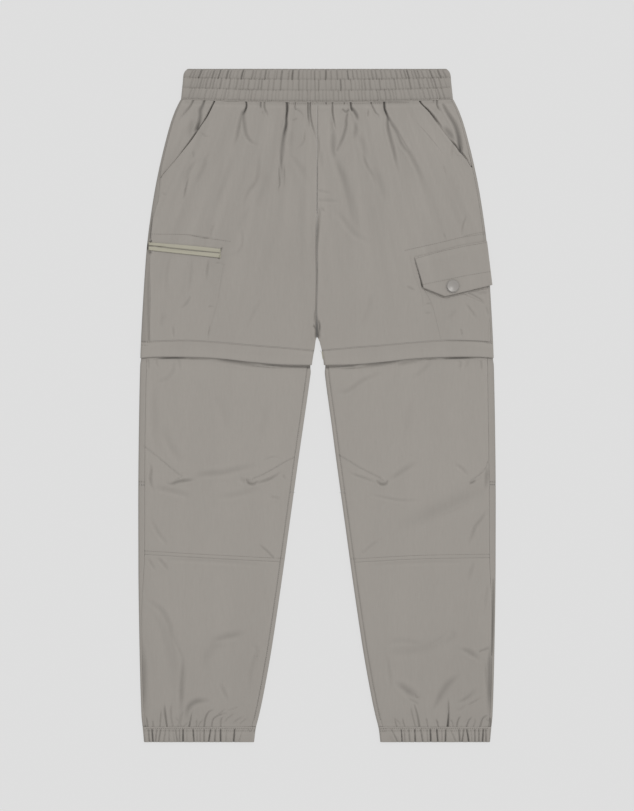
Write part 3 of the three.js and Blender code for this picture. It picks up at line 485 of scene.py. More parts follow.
leftKneeFolds = [   # wearer's left
    ("both", 0.42, 0.95, (338, 455), (350, 462), (360, 468), (370, 473), (380, 478)),
    ("none", 1, -1.1, (378, 479.5), (381.5, 478.5), (385, 480.5)),
    ("both", [0.8, 1.6, 1.5, 0.7], [0.9, 1.3, 1.2, 0.9], (376, 481), (380, 484), (384.5, 484),
     (387, 480.5)),
    ("none", [1, 1.4, 1.4], 0.8, (346, 472), (357, 476), (368, 480), (378, 484)),
    ("none", [2, 2.8, 3], 0.85, (386, 482), (395, 476), (405, 469), (418, 461)),
    ("none", 1.6, 0.6, (366, 494), (380, 497), (400, 500.5), (428, 500)),
    ("none", 2.4, 0.8, (331, 393), (345, 392), (352, 388), (360, 382), (372, 376), (387, 371)),
    ("none", 2.3, 0.7, (429, 358), (426, 366), (419, 373), (409, 382)),
    ("none", 1.8, 0.7, (457, 358), (459, 365), (455, 371)),
    ("none", 1.8, 0.65, (467, 359), (465, 366), (462, 370)),
    ("start", 1, 0.8, (480, 361), (480.5, 371)),
    ("both", 0.42, 0.9, (487, 461), (484, 469), (478, 475), (469, 481)),
    ("none", 0.8, -0.8, (485, 471), (480, 476), (473, 481)),
    ("none", 1.2, 1.3, (467, 482.5), (470, 483), (476, 479.5)),
    ("none", [1.5, 2.3, 2], [0.9, 1.1, 0.9], (486.5, 463), (485.5, 476), (484, 495)),
    ("none", 1.8, 0.7, (452, 463), (461, 469), (469, 478)),
    ("none", 9, 0.78, (496, 482), (460, 499), (432, 512), (384, 533)),
    ("none", 1.2, 0.6, (472, 500), (450, 512), (420, 522)),
    ("none", [1.4, 1.8, 1.4], 0.9, (487, 507), (480, 519), (474, 527), (470, 538), (466, 550)),
    ("end", 1.4, 0.6, (379, 539), (370, 546), (362, 553)),
    ("none", 5, 0.4, (414, 395), (406, 420), (404, 446)),
]
rightShinFolds = [   # wearer's right
    ("none", 1.8, 0.8, (155, 556), (162, 563), (169, 572)),
    ("none", 1.5, 0.7, (147, 558), (155, 571)),
    ("none", [1.4, 3, 3.2, 3.4, 3.6, 2.8], [0.7, 0.8, 0.8, 0.8, 0.75, 0.7], (142, 595), (150, 602),
     (160, 610), (167, 622), (171, 636), (175, 648), (180, 660)),
    ("none", [2.2, 2.6, 2.6, 2], [0.8, 0.95, 1.1, 1.05], (181, 648), (182, 666), (180.8, 684), (180.3, 702),
     (178.5, 720)),
    ("none", 1.6, 0.5, (169, 618), (172, 634), (177, 647), (183.5, 662), (184, 676)),
    ("none", 8, 0.66, (150, 600), (161, 622), (167, 642), (172, 668), (172, 702)),
    ("none", [2.4, 3.6, 3.4, 2], [0.8, 0.9, 0.95, 0.95], (206, 643), (222, 637.5), (233, 635), (242, 632.5),
     (246, 629)),
    ("none", [6, 6, 4.6], 0.7, (226, 641), (213, 646), (205, 658), (201, 674)),
    ("none", 2.6, 0.6, (244, 641), (252, 645), (256, 652), (250, 670), (247, 700)),
    ("both", 0.8, 0.8, (254, 655), (256.5, 656)),
    ("none", 2.2, 0.7, (219, 682), (224, 694), (228, 702)),
    ("none", [2, 3, 3, 2], [0.9, 1.15, 1.15, 1], (184, 722), (187.5, 708), (194, 702), (202, 700.5),
     (213, 700.3)),
    ("none", [1.8, 3, 3, 1.8], [0.8, 1.05, 1.1, 1], (141.3, 634), (143, 668), (143.5, 698), (146.5, 724)),
    ("end", 0.65, 1, (161, 708), (160, 717), (159.3, 727)),
    ("end", [0.7, 1, 0.8], [0.9, 1.3, 1.4], (163.5, 701), (164.5, 713), (166.5, 727)),
    ("end", 1, 0.8, (171.5, 700), (170, 712), (172, 727)),
    ("end", 1.6, 0.8, (184, 708), (180, 717), (177.5, 727)),
    ("end", [0.6, 0.9], [0.9, 1.4], (191.5, 710), (190, 719), (188.5, 727)),
    ("end", [0.6, 0.9, 0.9], [0.8, 1.1, 1.2], (217, 708.5), (209, 711), (205, 717), (203.3, 727)),
    ("end", 0.7, 1.1, (229, 713), (219, 714.5), (212.5, 719), (211, 727)),
    ("end", 0.7, 1, (224, 716), (220.5, 719), (220, 727)),
    ("none", 0.9, 0.8, (244, 716), (236, 720), (230, 726)),
    ("none", 0.6, 0.8, (226, 708), (219, 713), (214, 720)),
    ("none", 0.6, 0.8, (236, 712), (228, 717), (221, 725)),
    ("none", 0.6, 0.7, (248, 717), (241, 722), (238, 727)),
    ("none", 0.6, 0.7, (240, 706), (231, 709), (224, 711)),
    ("end", 0.6, 0.9, (143, 714), (146, 719), (145, 727)),
    ("end", 0.6, 0.8, (203, 719), (199, 723), (197.5, 727)),
    ("end", 0.6, 0.8, (174, 716), (178.5, 722), (181, 727)),
    ("end", 0.6, 0.7, (188, 722), (184, 725), (183, 727)),
    ("end", 0.8, 1.1, (145, 716), (146.5, 721), (147, 727)),
    ("end", 0.8, 0.9, (152, 719), (152.5, 727)),
    ("end", 0.8, 0.8, (196, 718), (195.5, 727)),
]
leftShinFolds = [   # wearer's left
    ("none", [1.8, 2.2], 0.7, (473, 560), (470, 570), (466, 584)),
    ("none", 2, 0.6, (488, 580), (484, 600), (482, 620)),
    ("none", [1.4, 3.6, 4.2, 3, 1.5], [0.9, 1, 1, 1.05, 0.9], (462, 672), (453, 678.5), (446, 685),
     (440, 694), (435, 704), (427, 716)),
    ("end", [0.5, 0.7, 1.1], [0.9, 1.3, 2.2], (446.8, 694), (447.6, 706), (447.6, 716), (446.8, 727)),
    ("none", [2.4, 4.2, 3.2], [0.85, 1.05, 0.95], (393, 680), (403, 688), (411, 693.5), (422, 700)),
    ("none", 0.8, 1, (412, 690), (416, 697), (421, 695)),
    ("none", 1, 0.8, (405, 697), (413, 701), (420, 706)),
    ("none", [1.4, 3, 1.8], [0.8, 0.95, 0.95], (456, 648), (465, 650.5), (473, 655), (481, 661)),
    ("both", [0.8, 1.6], [1, 0.9], (479, 651), (487, 648.5)),
    ("none", 3.6, 0.6, (448, 628), (452, 636), (441, 645)),
    ("none", 6, 0.55, (376, 652), (405, 651), (430, 646), (454, 633)),
    ("none", 3, 0.5, (380, 646), (400, 641), (430, 645)),
    ("none", [1.4, 2, 1.4], 0.9, (455, 703), (463, 699.5), (470, 694), (473, 686)),
    ("none", 3, 0.7, (462, 699), (471, 694), (476, 686)),
    ("none", 0.9, 0.8, (465, 706), (474, 701), (482, 696)),
    ("none", 1.6, 0.5, (450, 628), (441, 637), (428, 645), (415, 656)),
    ("none", 0.6, 0.8, (391, 717), (397, 721), (401, 727)),
    ("end", 0.6, 0.8, (446, 718), (451, 721), (452, 727)),
    ("end", 0.6, 0.8, (474, 717), (474, 722), (472, 727)),
    ("end", 0.6, 0.9, (484, 718), (488, 721), (487.5, 727)),
    ("none", 1.4, 0.6, (455, 712), (461, 708), (466, 703)),
    ("none", 2, 0.5, (385, 650), (388, 672), (390, 696)),
    ("both", [1, 1.5, 1.5, 1.2], [0.9, 1.4, 1.5, 1.2], (492.2, 580), (492.2, 603), (491.8, 630),
     (491, 655)),
    ("none", [1.5, 3, 3.4, 2.4], [1.1, 1.25, 1.35, 1.3], (490.2, 636), (488.8, 664), (488.8, 695),
     (488.8, 726)),
    ("none", 1.4, 0.9, (484, 655), (485.5, 680), (487, 703)),
    ("end", 0.7, 0.9, (409, 704), (411.5, 715), (414.5, 727)),
    ("end", [0.7, 1], [0.9, 1.3], (412, 700), (416, 713), (418.7, 727)),
    ("end", 0.7, 0.9, (425, 716), (427, 727)),
    ("end", 0.7, 1.1, (434, 718), (436, 721), (437.5, 727)),
    ("end", 0.7, 1.1, (461, 715), (457.5, 719), (455.5, 727)),
    ("end", 0.7, 1.1, (472, 716), (468, 720), (465.5, 727)),
    ("end", 0.8, 1.1, (489, 714), (482, 718), (479, 727)),
    ("end", 0.7, 0.9, (401, 717), (404, 727)),
    ("end", 0.8, 0.9, (393, 717), (396, 727)),
    ("end", 1.1, 1.5, (489, 716), (490, 727)),
]
flapShadows = [   # the flap's shadow on the pocket
    ("both", [0.7, 0.9, 0.75, 0.65], [3.4, 3.8, 3.2, 3.2], (423, 287.9), (431, 292), (443.5, 297),
     (452, 295.4)),
    ("none", [1.2, 1.8], [1, 1.3], (420.6, 285), (424, 289.6)),
    ("both", [0.7, 0.95, 0.8, 0.9, 0.65], [3.4, 4.6, 3.4, 4.4, 3.4], (450, 295.6), (460, 293.4),
     (467, 291.9), (476, 289.8), (489.5, 286.8)),
    ("start", [1.6, 1.3, 0.9], [1.4, 1.2, 1], (464, 293), (474, 297.5), (481, 301.5), (485.5, 306)),
    ("none", 1, 0.9, (475, 294), (484, 293), (489, 291)),
    ("none", [1, 1.6], 0.8, (463, 302), (470, 311), (477, 321)),
    ("none", 1.4, 0.6, (484, 305), (488, 318)),
    ("none", 2.2, 0.6, (456, 308), (445, 323)),
    ("none", 0.8, 0.9, (459.5, 328), (461.5, 337)),
    ("end", [1, 2.2], [0.8, 1.3], (490, 312), (489, 328), (489.5, 342)),
    ("end", 0.7, [0.7, 1.2], (434, 322), (436, 330), (438, 340)),
]
bodyFolds = (rightHipFolds + leftHipFolds + crotchFolds + waistSeamShadows + zipPocketFolds + cargoPocketFolds
             + bandShadows + rightKneeFolds + leftKneeFolds + rightShinFolds + leftShinFolds)
facingFolds = rightHipFolds + leftHipFolds + crotchFolds + waistSeamShadows + openingShadows


def hiddenFolds(mirror):
    # the backs, which no photo shows, fold much as the fronts do, more shallowly
    rows = [
        ("start", [2.2, 1.4], 1.3, (352, 101), (349, 120), (341, 148)),
        ("start", [2.4, 1.6], 1.4, (381 + 3 * mirror, 101), (386, 125), (397, 160 + 8 * mirror)),
        ("start", 1.8, 1.2, (420, 101), (428, 122), (437, 150 - 6 * mirror)),
        ("start", 1.4, 1, (334, 101), (335, 128)),
        ("start", 1.4, 1, (405, 101), (403 - 2 * mirror, 118)),
        ("none", 5, 1, (350, 195), (368, 240), (372, 290 + 10 * mirror)),
        ("none", 6, 0.9, (330, 300), (366, 330), (420, 338)),
        ("none", 4, 1.1, (486, 470), (452, 488), (402, 500 + 5 * mirror)),
        ("none", 4, 1, (345, 480), (382, 496), (430, 500)),
        ("none", 5, 0.9, (360, 560), (400, 590 + 6 * mirror), (408, 640)),
        ("none", 4, 1, (484, 620), (452, 655), (440, 700)),
        ("end", 1.8, 1.1, (420, 704), (418, 726)),
        ("end", 1.8, 1.1, (458 - 3 * mirror, 700), (455, 726)),
    ]
    return [(root, width, depth, *((photoCentre + mirror * (px - photoCentre), py) for px, py in route))
            for root, width, depth, *route in rows]


# Waistband: three stitched channels of elastic
waistband = {
    "middle": [0, 0.325, 0.65, 0.955],    # the channels' ends, in parts of its depth
    "side": [0, 0.283, 0.612, 0.955],
    "lowFace": 5.0,
    "swell": 0.9,
    "roundness": 0.5,
    "wall": 1.4,
    "topGroove": (0.7, 0.9),              # depth and width
    "fans": [0.0032, 0.0021, 0.0023],     # how far the gathers spread on their way down
    "grooves": [0.4, 0.4, 0.25],          # depth of the stitched line below each channel
    "grooveWidth": 0.7,
    "hemDrop": 0.35,
    "hemPart": 0.94,
    "ridges": 0.6,
    "uneven": 1.2,
    "gatherWidth": 0.72,
    "gatherDepth": 1.25,
    "deepest": 1.9,
    "underDepth": 0.6,                    # how deep the gathers are on the back, to the front's
    "seed": 21,
    "widthSpread": (0.8, 1.3),
    "depthSpread": (0.6, 1.3),
    "sway": 0.25,
    "parts": (0.02, 0.5, 0.98),           # where along a channel a gather's route is set
    # columns of the deep and the shallow gathers, in photo pixels
    "upperDeep": [191, 200, 207, 213, 219, 227, 242, 252, 265, 274, 281, 292, 298, 325, 347, 356, 367, 380,
                  395, 400, 407, 414, 421, 430, 438],
    "upperFine": [194, 197, 203, 210, 216, 222, 230, 233, 237, 244, 255, 260, 268, 276, 288, 302, 306, 310,
                  314, 319, 330, 336, 341, 352, 360, 363, 371, 375, 384, 390, 404, 411, 417, 426, 434, 443],
    "middleDeep": [191, 200, 206, 213, 220, 229, 236, 243, 254, 261, 280, 298, 306, 318, 330, 340, 350, 358,
                   364, 379, 394, 401, 409, 418, 427, 434],
    "middleFine": [194, 197, 203, 210, 216, 224, 233, 240, 248, 258, 268, 273, 287, 292, 302, 310, 314, 325,
                   335, 344, 354, 361, 369, 374, 385, 389, 397, 404, 413, 422, 431, 439, 444],
    "lower": (189, 445, 3.9),             # the lower channel's first and last gather, and their pitch
    "lowerSway": 1.1,
    "strengths": {"upperDeep": 0.95, "upperFine": 0.72, "middleDeep": 0.82, "middleFine": 0.58,
                  "lower": 0.57},
    # a shallow groove along the top edge, with painted shade in it
    "topEdgeShade": ("both", 0.45, 1.2, (187, 70), (445, 70)),
}
cuff = {
    "top": 723.0,
    "channelTop": 729.5,
    "lowFace": 4.4,
    "swell": 1.3,
    "roundness": 0.6,
    "plainSwell": 0.3,
    "plainEnd": 13.0,                     # ungathered stretch beside the inner seam
    "plainFade": 3.0,
    "shallowTop": 0.6,                    # how deep the gathers are above the channel, to those in it
    "shallowPart": 0.25,
    "gatherWidth": 0.62,
    "gatherDepth": 1.65,
    "widthSpread": (0.8, 1.2),
    "deep": 1.35,                         # of that depth, and a shallow pleat's least and most
    "shallow": (0.5, 0.95),
    "gatherRows": [729.3, 742],           # photo rows of a pleat's two ends
    # each pleat as its column at the top and at the hem, in photo pixels
    "rightPleats": [(144, 144), (148, 149), (151.5, 152.5), (156, 155), (160, 158), (165, 163),
                    (168.5, 168.5), (172, 174), (175, 177), (179, 179), (182.5, 182.5), (186, 186),
                    (192.5, 193.5), (196, 196.5), (199.5, 199.5), (203.5, 203.5), (210, 208), (215, 214),
                    (220, 220), (226, 225), (234, 233), (242, 238)],
    "leftPleats": [(391, 397), (400.5, 401.5), (403.5, 404), (408, 409), (414, 414.5), (420, 422),
                   (426, 427), (429.5, 430), (436, 437), (441, 441), (445, 444.5), (450, 455), (458, 459),
                   (463, 461), (466, 468), (470, 471), (474, 474), (478, 478), (482.5, 481.5), (485, 485),
                   (489.5, 489)],
    "deepPleats": [151.5, 182.5, 192.5, 210, 220, 234, 400.5, 414, 429.5, 436, 445, 466, 482.5],
}


def channelAt(row, x):
    return mix(waistband["middle"][row], waistband["side"][row], toWaistSide(x)) * waistBottom(x)


def gathers():
    jitter = np.random.default_rng(waistband["seed"])
    lower = np.arange(*waistband["lower"])
    lower = lower + jitter.uniform(-waistband["lowerSway"], waistband["lowerSway"], len(lower))
    rows = []
    for k, (name, strength) in enumerate(waistband["strengths"].items()):
        row = k // 2   # the two upper channels have two kinds of gathers each
        for column in lower if name == "lower" else waistband[name]:
            x, _ = fromPhoto(column, 0)
            start = channelAt(row, x)
            end = channelAt(row + 1, x)
            middle = mix(start, end, 0.5)
            route = []
            for t in waistband["parts"]:
                down = mix(start, end, t)
                sway = jitter.uniform(-waistband["sway"], waistband["sway"])
                spotX = x * (1 + waistband["fans"][row] * (down - middle)) + sway
                route.append((photoCentre + spotX / photoScale, photoTop + down / photoScale))
            width = waistband["gatherWidth"] * jitter.uniform(*waistband["widthSpread"])
            depth = waistband["gatherDepth"] * strength * jitter.uniform(*waistband["depthSpread"])
            rows.append(("both", width, depth, *route))
    rows.append(waistband["topEdgeShade"])
    for columns in cuff["rightPleats"] + cuff["leftPleats"]:
        deep = cuff["deep"] if columns[0] in cuff["deepPleats"] else jitter.uniform(*cuff["shallow"])
        width = cuff["gatherWidth"] * jitter.uniform(*cuff["widthSpread"])
        rows.append(("both", width, cuff["gatherDepth"] * deep, *zip(columns, cuff["gatherRows"])))
    return rows


legRelief = carved(bodyFolds)
facingRelief = carved(facingFolds)
pocketRelief = carved(flapShadows)
elasticRelief = carved(gathers())
underRelief = carved(hiddenFolds(-1) + hiddenFolds(1))
plainRelief = carved([])
# layers of noise: height, seed, and how wide and tall its patches are
unevenness = sum(height * softNoise(*patches) for height, *patches in
                 ((0.25, 11, 75, 95), (0.08, 12, 17, 30), (0.03, 13, 3.2, 20)))
streaks = sum(height * softNoise(*patches) for height, *patches in ((0.2, 14, 8, 75), (0.09, 15, 3.2, 40)))
print("creases drawn")


# Heights of the faces
front = {                        # how a front's swell and folds change on the way down
    "twoSwells": (160, 300),     # where the hips' one swell turns into the legs' two
    "hipRound": 4.0,
    "legRound": 3.5,
    "belowWaist": (-4, 4),
    "belowHem": (1, 26),         # where a leg's folds start under its band's hem, and are full
    "aboveCuff": 26.0,
    "atCuff": 0.5,
    "hipStreaks": (260, 150),
    "shinStreaks": (640, 720),
    "leastStreaks": 0.35,
    "moreStreaks": 0.5,
    "leastUneven": 0.4,
    "hemSink": 0.35,             # a leg lies lower just below the hem
    "hemSinkReach": (2, 14),
    "fan": {"width": 380, "centre": 230, "end": 300},
    "deepestUnder": 1.4,
}
band = {
    "face": 5.25,       # height of the loose band
    "hemLift": 0.5,     # more at its free hem
    "hemReach": 9.0,
    "joinReach": (0.3, 7),   # where it leaves the front that it is sewn to
    "hemEdge": (0.35, 0.7),  # depth and width
    "seamGroove": (0.06, 0.7),
    "wrinkles": {"height": 0.25, "across": 1.7, "along": 0.5, "shift": 200},
    "shelter": 3.0,     # a leg starts this far below the band's top
}


def gapBeside(distance, depth, width=1.1):
    return depth * np.exp(-(distance / width) ** 2)


def fanned(x, down):
    # folds spread from the waist down to the thighs, and run straight from there
    fan = front["fan"]
    return x * fan["width"] / (fan["centre"] + np.minimum(down, fan["end"]))


def frontFace(x, down, relief=legRelief):
    onLeg = down > bandTopAt(x) + band["shelter"]
    below = down - bandBottomAt(x)
    calm = np.where(onLeg, ease(*front["belowHem"], below), 1)
    shins = front["leastStreaks"] + front["moreStreaks"] * ease(*front["shinStreaks"], down)
    lively = np.maximum(ease(*front["hipStreaks"], down), shins)
    legPuff = 1 - np.abs(2 * acrossLeg(x, down) - 1) ** front["legRound"]
    hipPuff = 1 - np.clip(np.abs(x) / outerAt(down), 0, 1) ** front["hipRound"]
    puff = layers["puff"] * mix(hipPuff, legPuff, ease(*front["twoSwells"], down))
    fromCuff = ease(cuff["top"], cuff["top"] - front["aboveCuff"], down)
    fromWaist = down - waistBottom(x)
    root = layers["rootLift"] * ease(*front["belowWaist"], fromWaist)
    root = root * np.exp(-np.maximum(fromWaist, 0) / layers["rootReach"])
    height = layers["front"] + root + puff * mix(front["atCuff"], 1, fromCuff) * calm
    height = height + sample(relief["ridge"], x, down) - sample(relief["valley"], x, down)
    height = height + mix(front["leastUneven"], 1, calm) * sample(unevenness, x, down)
    height = height + lively * calm * sample(streaks, fanned(x, down), down)
    height = height - front["hemSink"] * (1 - ease(*front["hemSinkReach"], below)) * onLeg
    return np.maximum(height, layers["lowest"])


def waistFace(x, down):
    part = down / waistBottom(x)
    swell = np.zeros(np.shape(part))
    groove = gapBeside(down, *waistband["topGroove"])
    for row, depth in enumerate(waistband["grooves"]):
        start = channelAt(row, x)
        end = channelAt(row + 1, x)
        middle = np.clip((down - start) / (end - start), 0, 1)
        swell = np.maximum(swell, np.sin(np.pi * middle) ** waistband["roundness"])
        groove = groove + gapBeside(down - end, depth, waistband["grooveWidth"])
    height = waistband["lowFace"] - waistband["hemDrop"] * ease(waistband["hemPart"], 1, part)
    height = height + waistband["swell"] * swell - groove
    height = height - np.minimum(sample(elasticRelief["valley"], x, down), waistband["deepest"])
    height = height + waistband["ridges"] * sample(elasticRelief["ridge"], x, down)
    return height + waistband["uneven"] * sample(unevenness, x, down)


def bandFace(x, down):
    fallen = down - bandTopAt(x)
    left = bandBottomAt(x) - down
    wrinkles = band["wrinkles"]
    uneven = sample(unevenness, wrinkles["across"] * x, wrinkles["along"] * down + wrinkles["shift"])
    loose = band["face"] + band["hemLift"] * ease(band["hemReach"], 0, left)
    loose = loose - gapBeside(left, *band["hemEdge"]) + wrinkles["height"] * uneven
    joined = frontFace(x, bandTopAt(x) - band["joinReach"][0])
    return mix(joined, loose, ease(*band["joinReach"], fallen)) - gapBeside(fallen, *band["seamGroove"])


def cuffFace(x, down):
    plainEnds = (cuff["plainEnd"] - cuff["plainFade"], cuff["plainEnd"] + cuff["plainFade"])
    gathered = ease(*plainEnds, np.abs(x) - innerAt(down))
    channel = np.clip((down - cuff["channelTop"]) / (garmentLength - cuff["channelTop"]), 0, 1)
    swell = mix(cuff["plainSwell"], cuff["swell"], gathered)
    height = cuff["lowFace"] + np.sin(np.pi * channel) ** cuff["roundness"] * swell
    valley = np.minimum(sample(elasticRelief["valley"], x, down), waistband["deepest"])
    return height - valley * gathered * mix(cuff["shallowTop"], 1, ease(0, cuff["shallowPart"], channel))


def underFace(x, down):
    return np.minimum(sample(underRelief["valley"], x, down), front["deepestUnder"])


def gatheredUnder(deepest):
    depth = waistband["underDepth"]
    return lambda x, down: np.minimum(depth * sample(elasticRelief["valley"], x, down), deepest)


paintedShadeDown = {   # painted shade down the garment: broad shade, darkest near the cuffs and lightest at the knees
    "down": [0, 75, 100, 190, 240, 296, 305, 345, 436, 480, 540, 600, 625, 655, 700, 718, 724],
    "shade": [0.02, 0.02, 0.03, 0.03, 0.022, 0.022, 0.016, 0.004, 0, 0.015, 0.02, 0.033, 0.05, 0.072,
              0.076, 0.1, 0.085],
}
hipStreakShade = {"depth": 0.22, "top": (34, 60), "bottom": (300, 170)}   # painted shade along the streaks that fan from the waist


def creaseShade(relief, x, down, base=0.0):
    # painted shade on the cloth: broad shade down the garment, shade in the creases and along the hips'
    # streaks
    hips = ease(*hipStreakShade["top"], down) * ease(*hipStreakShade["bottom"], down)
    streakShade = hipStreakShade["depth"] * hips * sample(streaks, fanned(x, down), down)
    tone = base + np.interp(down, paintedShadeDown["down"], paintedShadeDown["shade"])
    return np.minimum(tone + sample(relief["shade"], x, down) + streakShade, 1)


# Meshes. A piece is made of spots with x, down and z in millimetres.
making = {
    "heightColumn": 80.0,   # x where a piece's length is measured for its rows
    "lip": 6.0,             # cloth between a rolled edge and its seam
    "lipPitch": 1.0,
    "dipReach": 5.0,        # how far from a seam its dip is drawn on a lip
    "farAway": 50.0,
    "turnSteps": 7,
    "leastLength": 12.0,    # a zip tape is 12 wide with what is sewn in
    "leastShare": 0.31,     # of a flat size that its area takes up
}
cloth = {"columnPitch": 0.93, "rowPitch": 1.3, "seamDip": 0.12, "wall": 0.8}


def place(name, data):
    piece = bpy.data.objects.new(name, data)
    bpy.context.collection.objects.link(piece)
    return piece


def pieceOf(name, x, down, z, faces, material):
    mesh = bpy.data.meshes.new(name)
    spots = np.stack([x, garmentLength / 2 - down, z], axis=-1).reshape(-1, 3) * mm
    mesh.from_pydata(spots.tolist(), [], faces)
    mesh.materials.append(material)
    mesh.shade_smooth()
    piece = place(name, mesh)
    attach(piece, "root")
    return piece


def dress(piece, corners, shade):
    mesh = piece.data
    mesh.uv_layers.new(name="clothUv").data.foreach_set("uv", np.asarray(corners, np.float32).ravel())
    # foldShade holds the painted shade that darkens the cloth's colour in creases and shadows
    shades = mesh.attributes.new("foldShade", "FLOAT", "POINT").data
    shades.foreach_set("value", shade.astype(np.float32).ravel())


def thicken(piece, thickness):
    wall = piece.modifiers.new("wall", "SOLIDIFY")
    wall.thickness = thickness * mm
    wall.offset = -1
    wall.use_rim = True


def declareCloth(node, area):
    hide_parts(node)


def spread(length, pitch):
    # parts of a length, closer together at its two ends
    ends = np.array([0, 0.35, 0.8, 1.35, 2.0, 2.8]) / length
    middle = np.linspace(ends[-1], 1 - ends[-1], max(2, round(length / pitch)))
    return np.concatenate([ends[:-1], middle, 1 - ends[-2::-1]])


def rowsOf(form, pitch):
    column = making["heightColumn"]
    return spread(float(form["bottomAt"](column) - form["topAt"](column)), pitch)[:, None]


def settle(xAt, topAt, bottomAt, part):
    # x depends on down and down on x, so they are found in turns
    x = 100.0
    for _ in range(6):
        down = mix(topAt(x), bottomAt(x), part)
        x = xAt(down)
    return x, mix(topAt(x), bottomAt(x), part)


def gridArea(x, down, z):
    spots = np.stack(np.broadcast_arrays(x, down, z), axis=-1)
    sideA = spots[1:, :-1] - spots[:-1, :-1]
    sideB = spots[:-1, 1:] - spots[:-1, :-1]
    return np.linalg.norm(np.cross(sideA, sideB), axis=-1).sum() * mm * mm


def gridOf(shape):
    return np.arange(shape[0] * shape[1]).reshape(shape)


def quadsOf(index, flipped):
    quads = np.stack([index[:-1, :-1], index[:-1, 1:], index[1:, 1:], index[1:, :-1]], axis=-1)
    return quads.reshape(-1, 4)[:, ::-1] if flipped else quads.reshape(-1, 4)


def panel(node, form, material):
    # A front: its face carries the folds, and its plain inside lies flat
    side = form["side"]
    topAt, bottomAt, inEdge, outEdge = [form[key] for key in ("topAt", "bottomAt", "inEdge", "outEdge")]
    column = making["heightColumn"]
    midDown = 0.5 * (topAt(column) + bottomAt(column))
    across = spread(float(outEdge(midDown) - inEdge(midDown)), cloth["columnPitch"])[None, :]
    x, down = settle(lambda d: mix(inEdge(d), outEdge(d), across), topAt, bottomAt,
                     rowsOf(form, cloth["rowPitch"]))
    z = form["face"](side * x, down)
    dips = form["dips"]
    z = z - gapBeside(x - inEdge(down), dips["in"]) - gapBeside(outEdge(down) - x, dips["out"])
    z = z - gapBeside(down - topAt(x), dips["top"]) - gapBeside(bottomAt(x) - down, dips["bottom"])
    z = np.maximum(z, layers["lowest"])
    index = gridOf(x.shape)
    rim = np.concatenate([index[0, :-1], index[:-1, -1], index[-1, :0:-1], index[:0:-1, 0]])
    lower = np.arange(len(rim)) + x.size
    if side > 0:
        wall = np.stack([rim, np.roll(rim, -1), np.roll(lower, -1), lower], axis=-1)
        bottom = lower
    else:
        wall = np.stack([rim, lower, np.roll(lower, -1), np.roll(rim, -1)], axis=-1)
        bottom = lower[::-1]
    faces = quadsOf(index, side > 0).tolist() + wall.tolist() + [bottom.tolist()]
    allX = np.concatenate([side * x.ravel(), side * x.ravel()[rim]])
    allDown = np.concatenate([down.ravel(), down.ravel()[rim]])
    allZ = np.concatenate([z.ravel(), np.full(len(rim), layers["inside"])])
    flatUv = np.stack([allX, -allDown], axis=-1) * mm
    piece = pieceOf(node + "Cloth", allX, allDown, allZ, faces, material)
    dress(piece, np.concatenate([flatUv[face] for face in faces]),
          creaseShade(form.get("relief", legRelief), allX, allDown))
    declareCloth(node, gridArea(x, down, z))


def rollTurns(start, end):
    angles = np.radians(np.linspace(start, end, making["turnSteps"] + 2)[1:-1])
    return np.cos(angles), np.sin(angles)


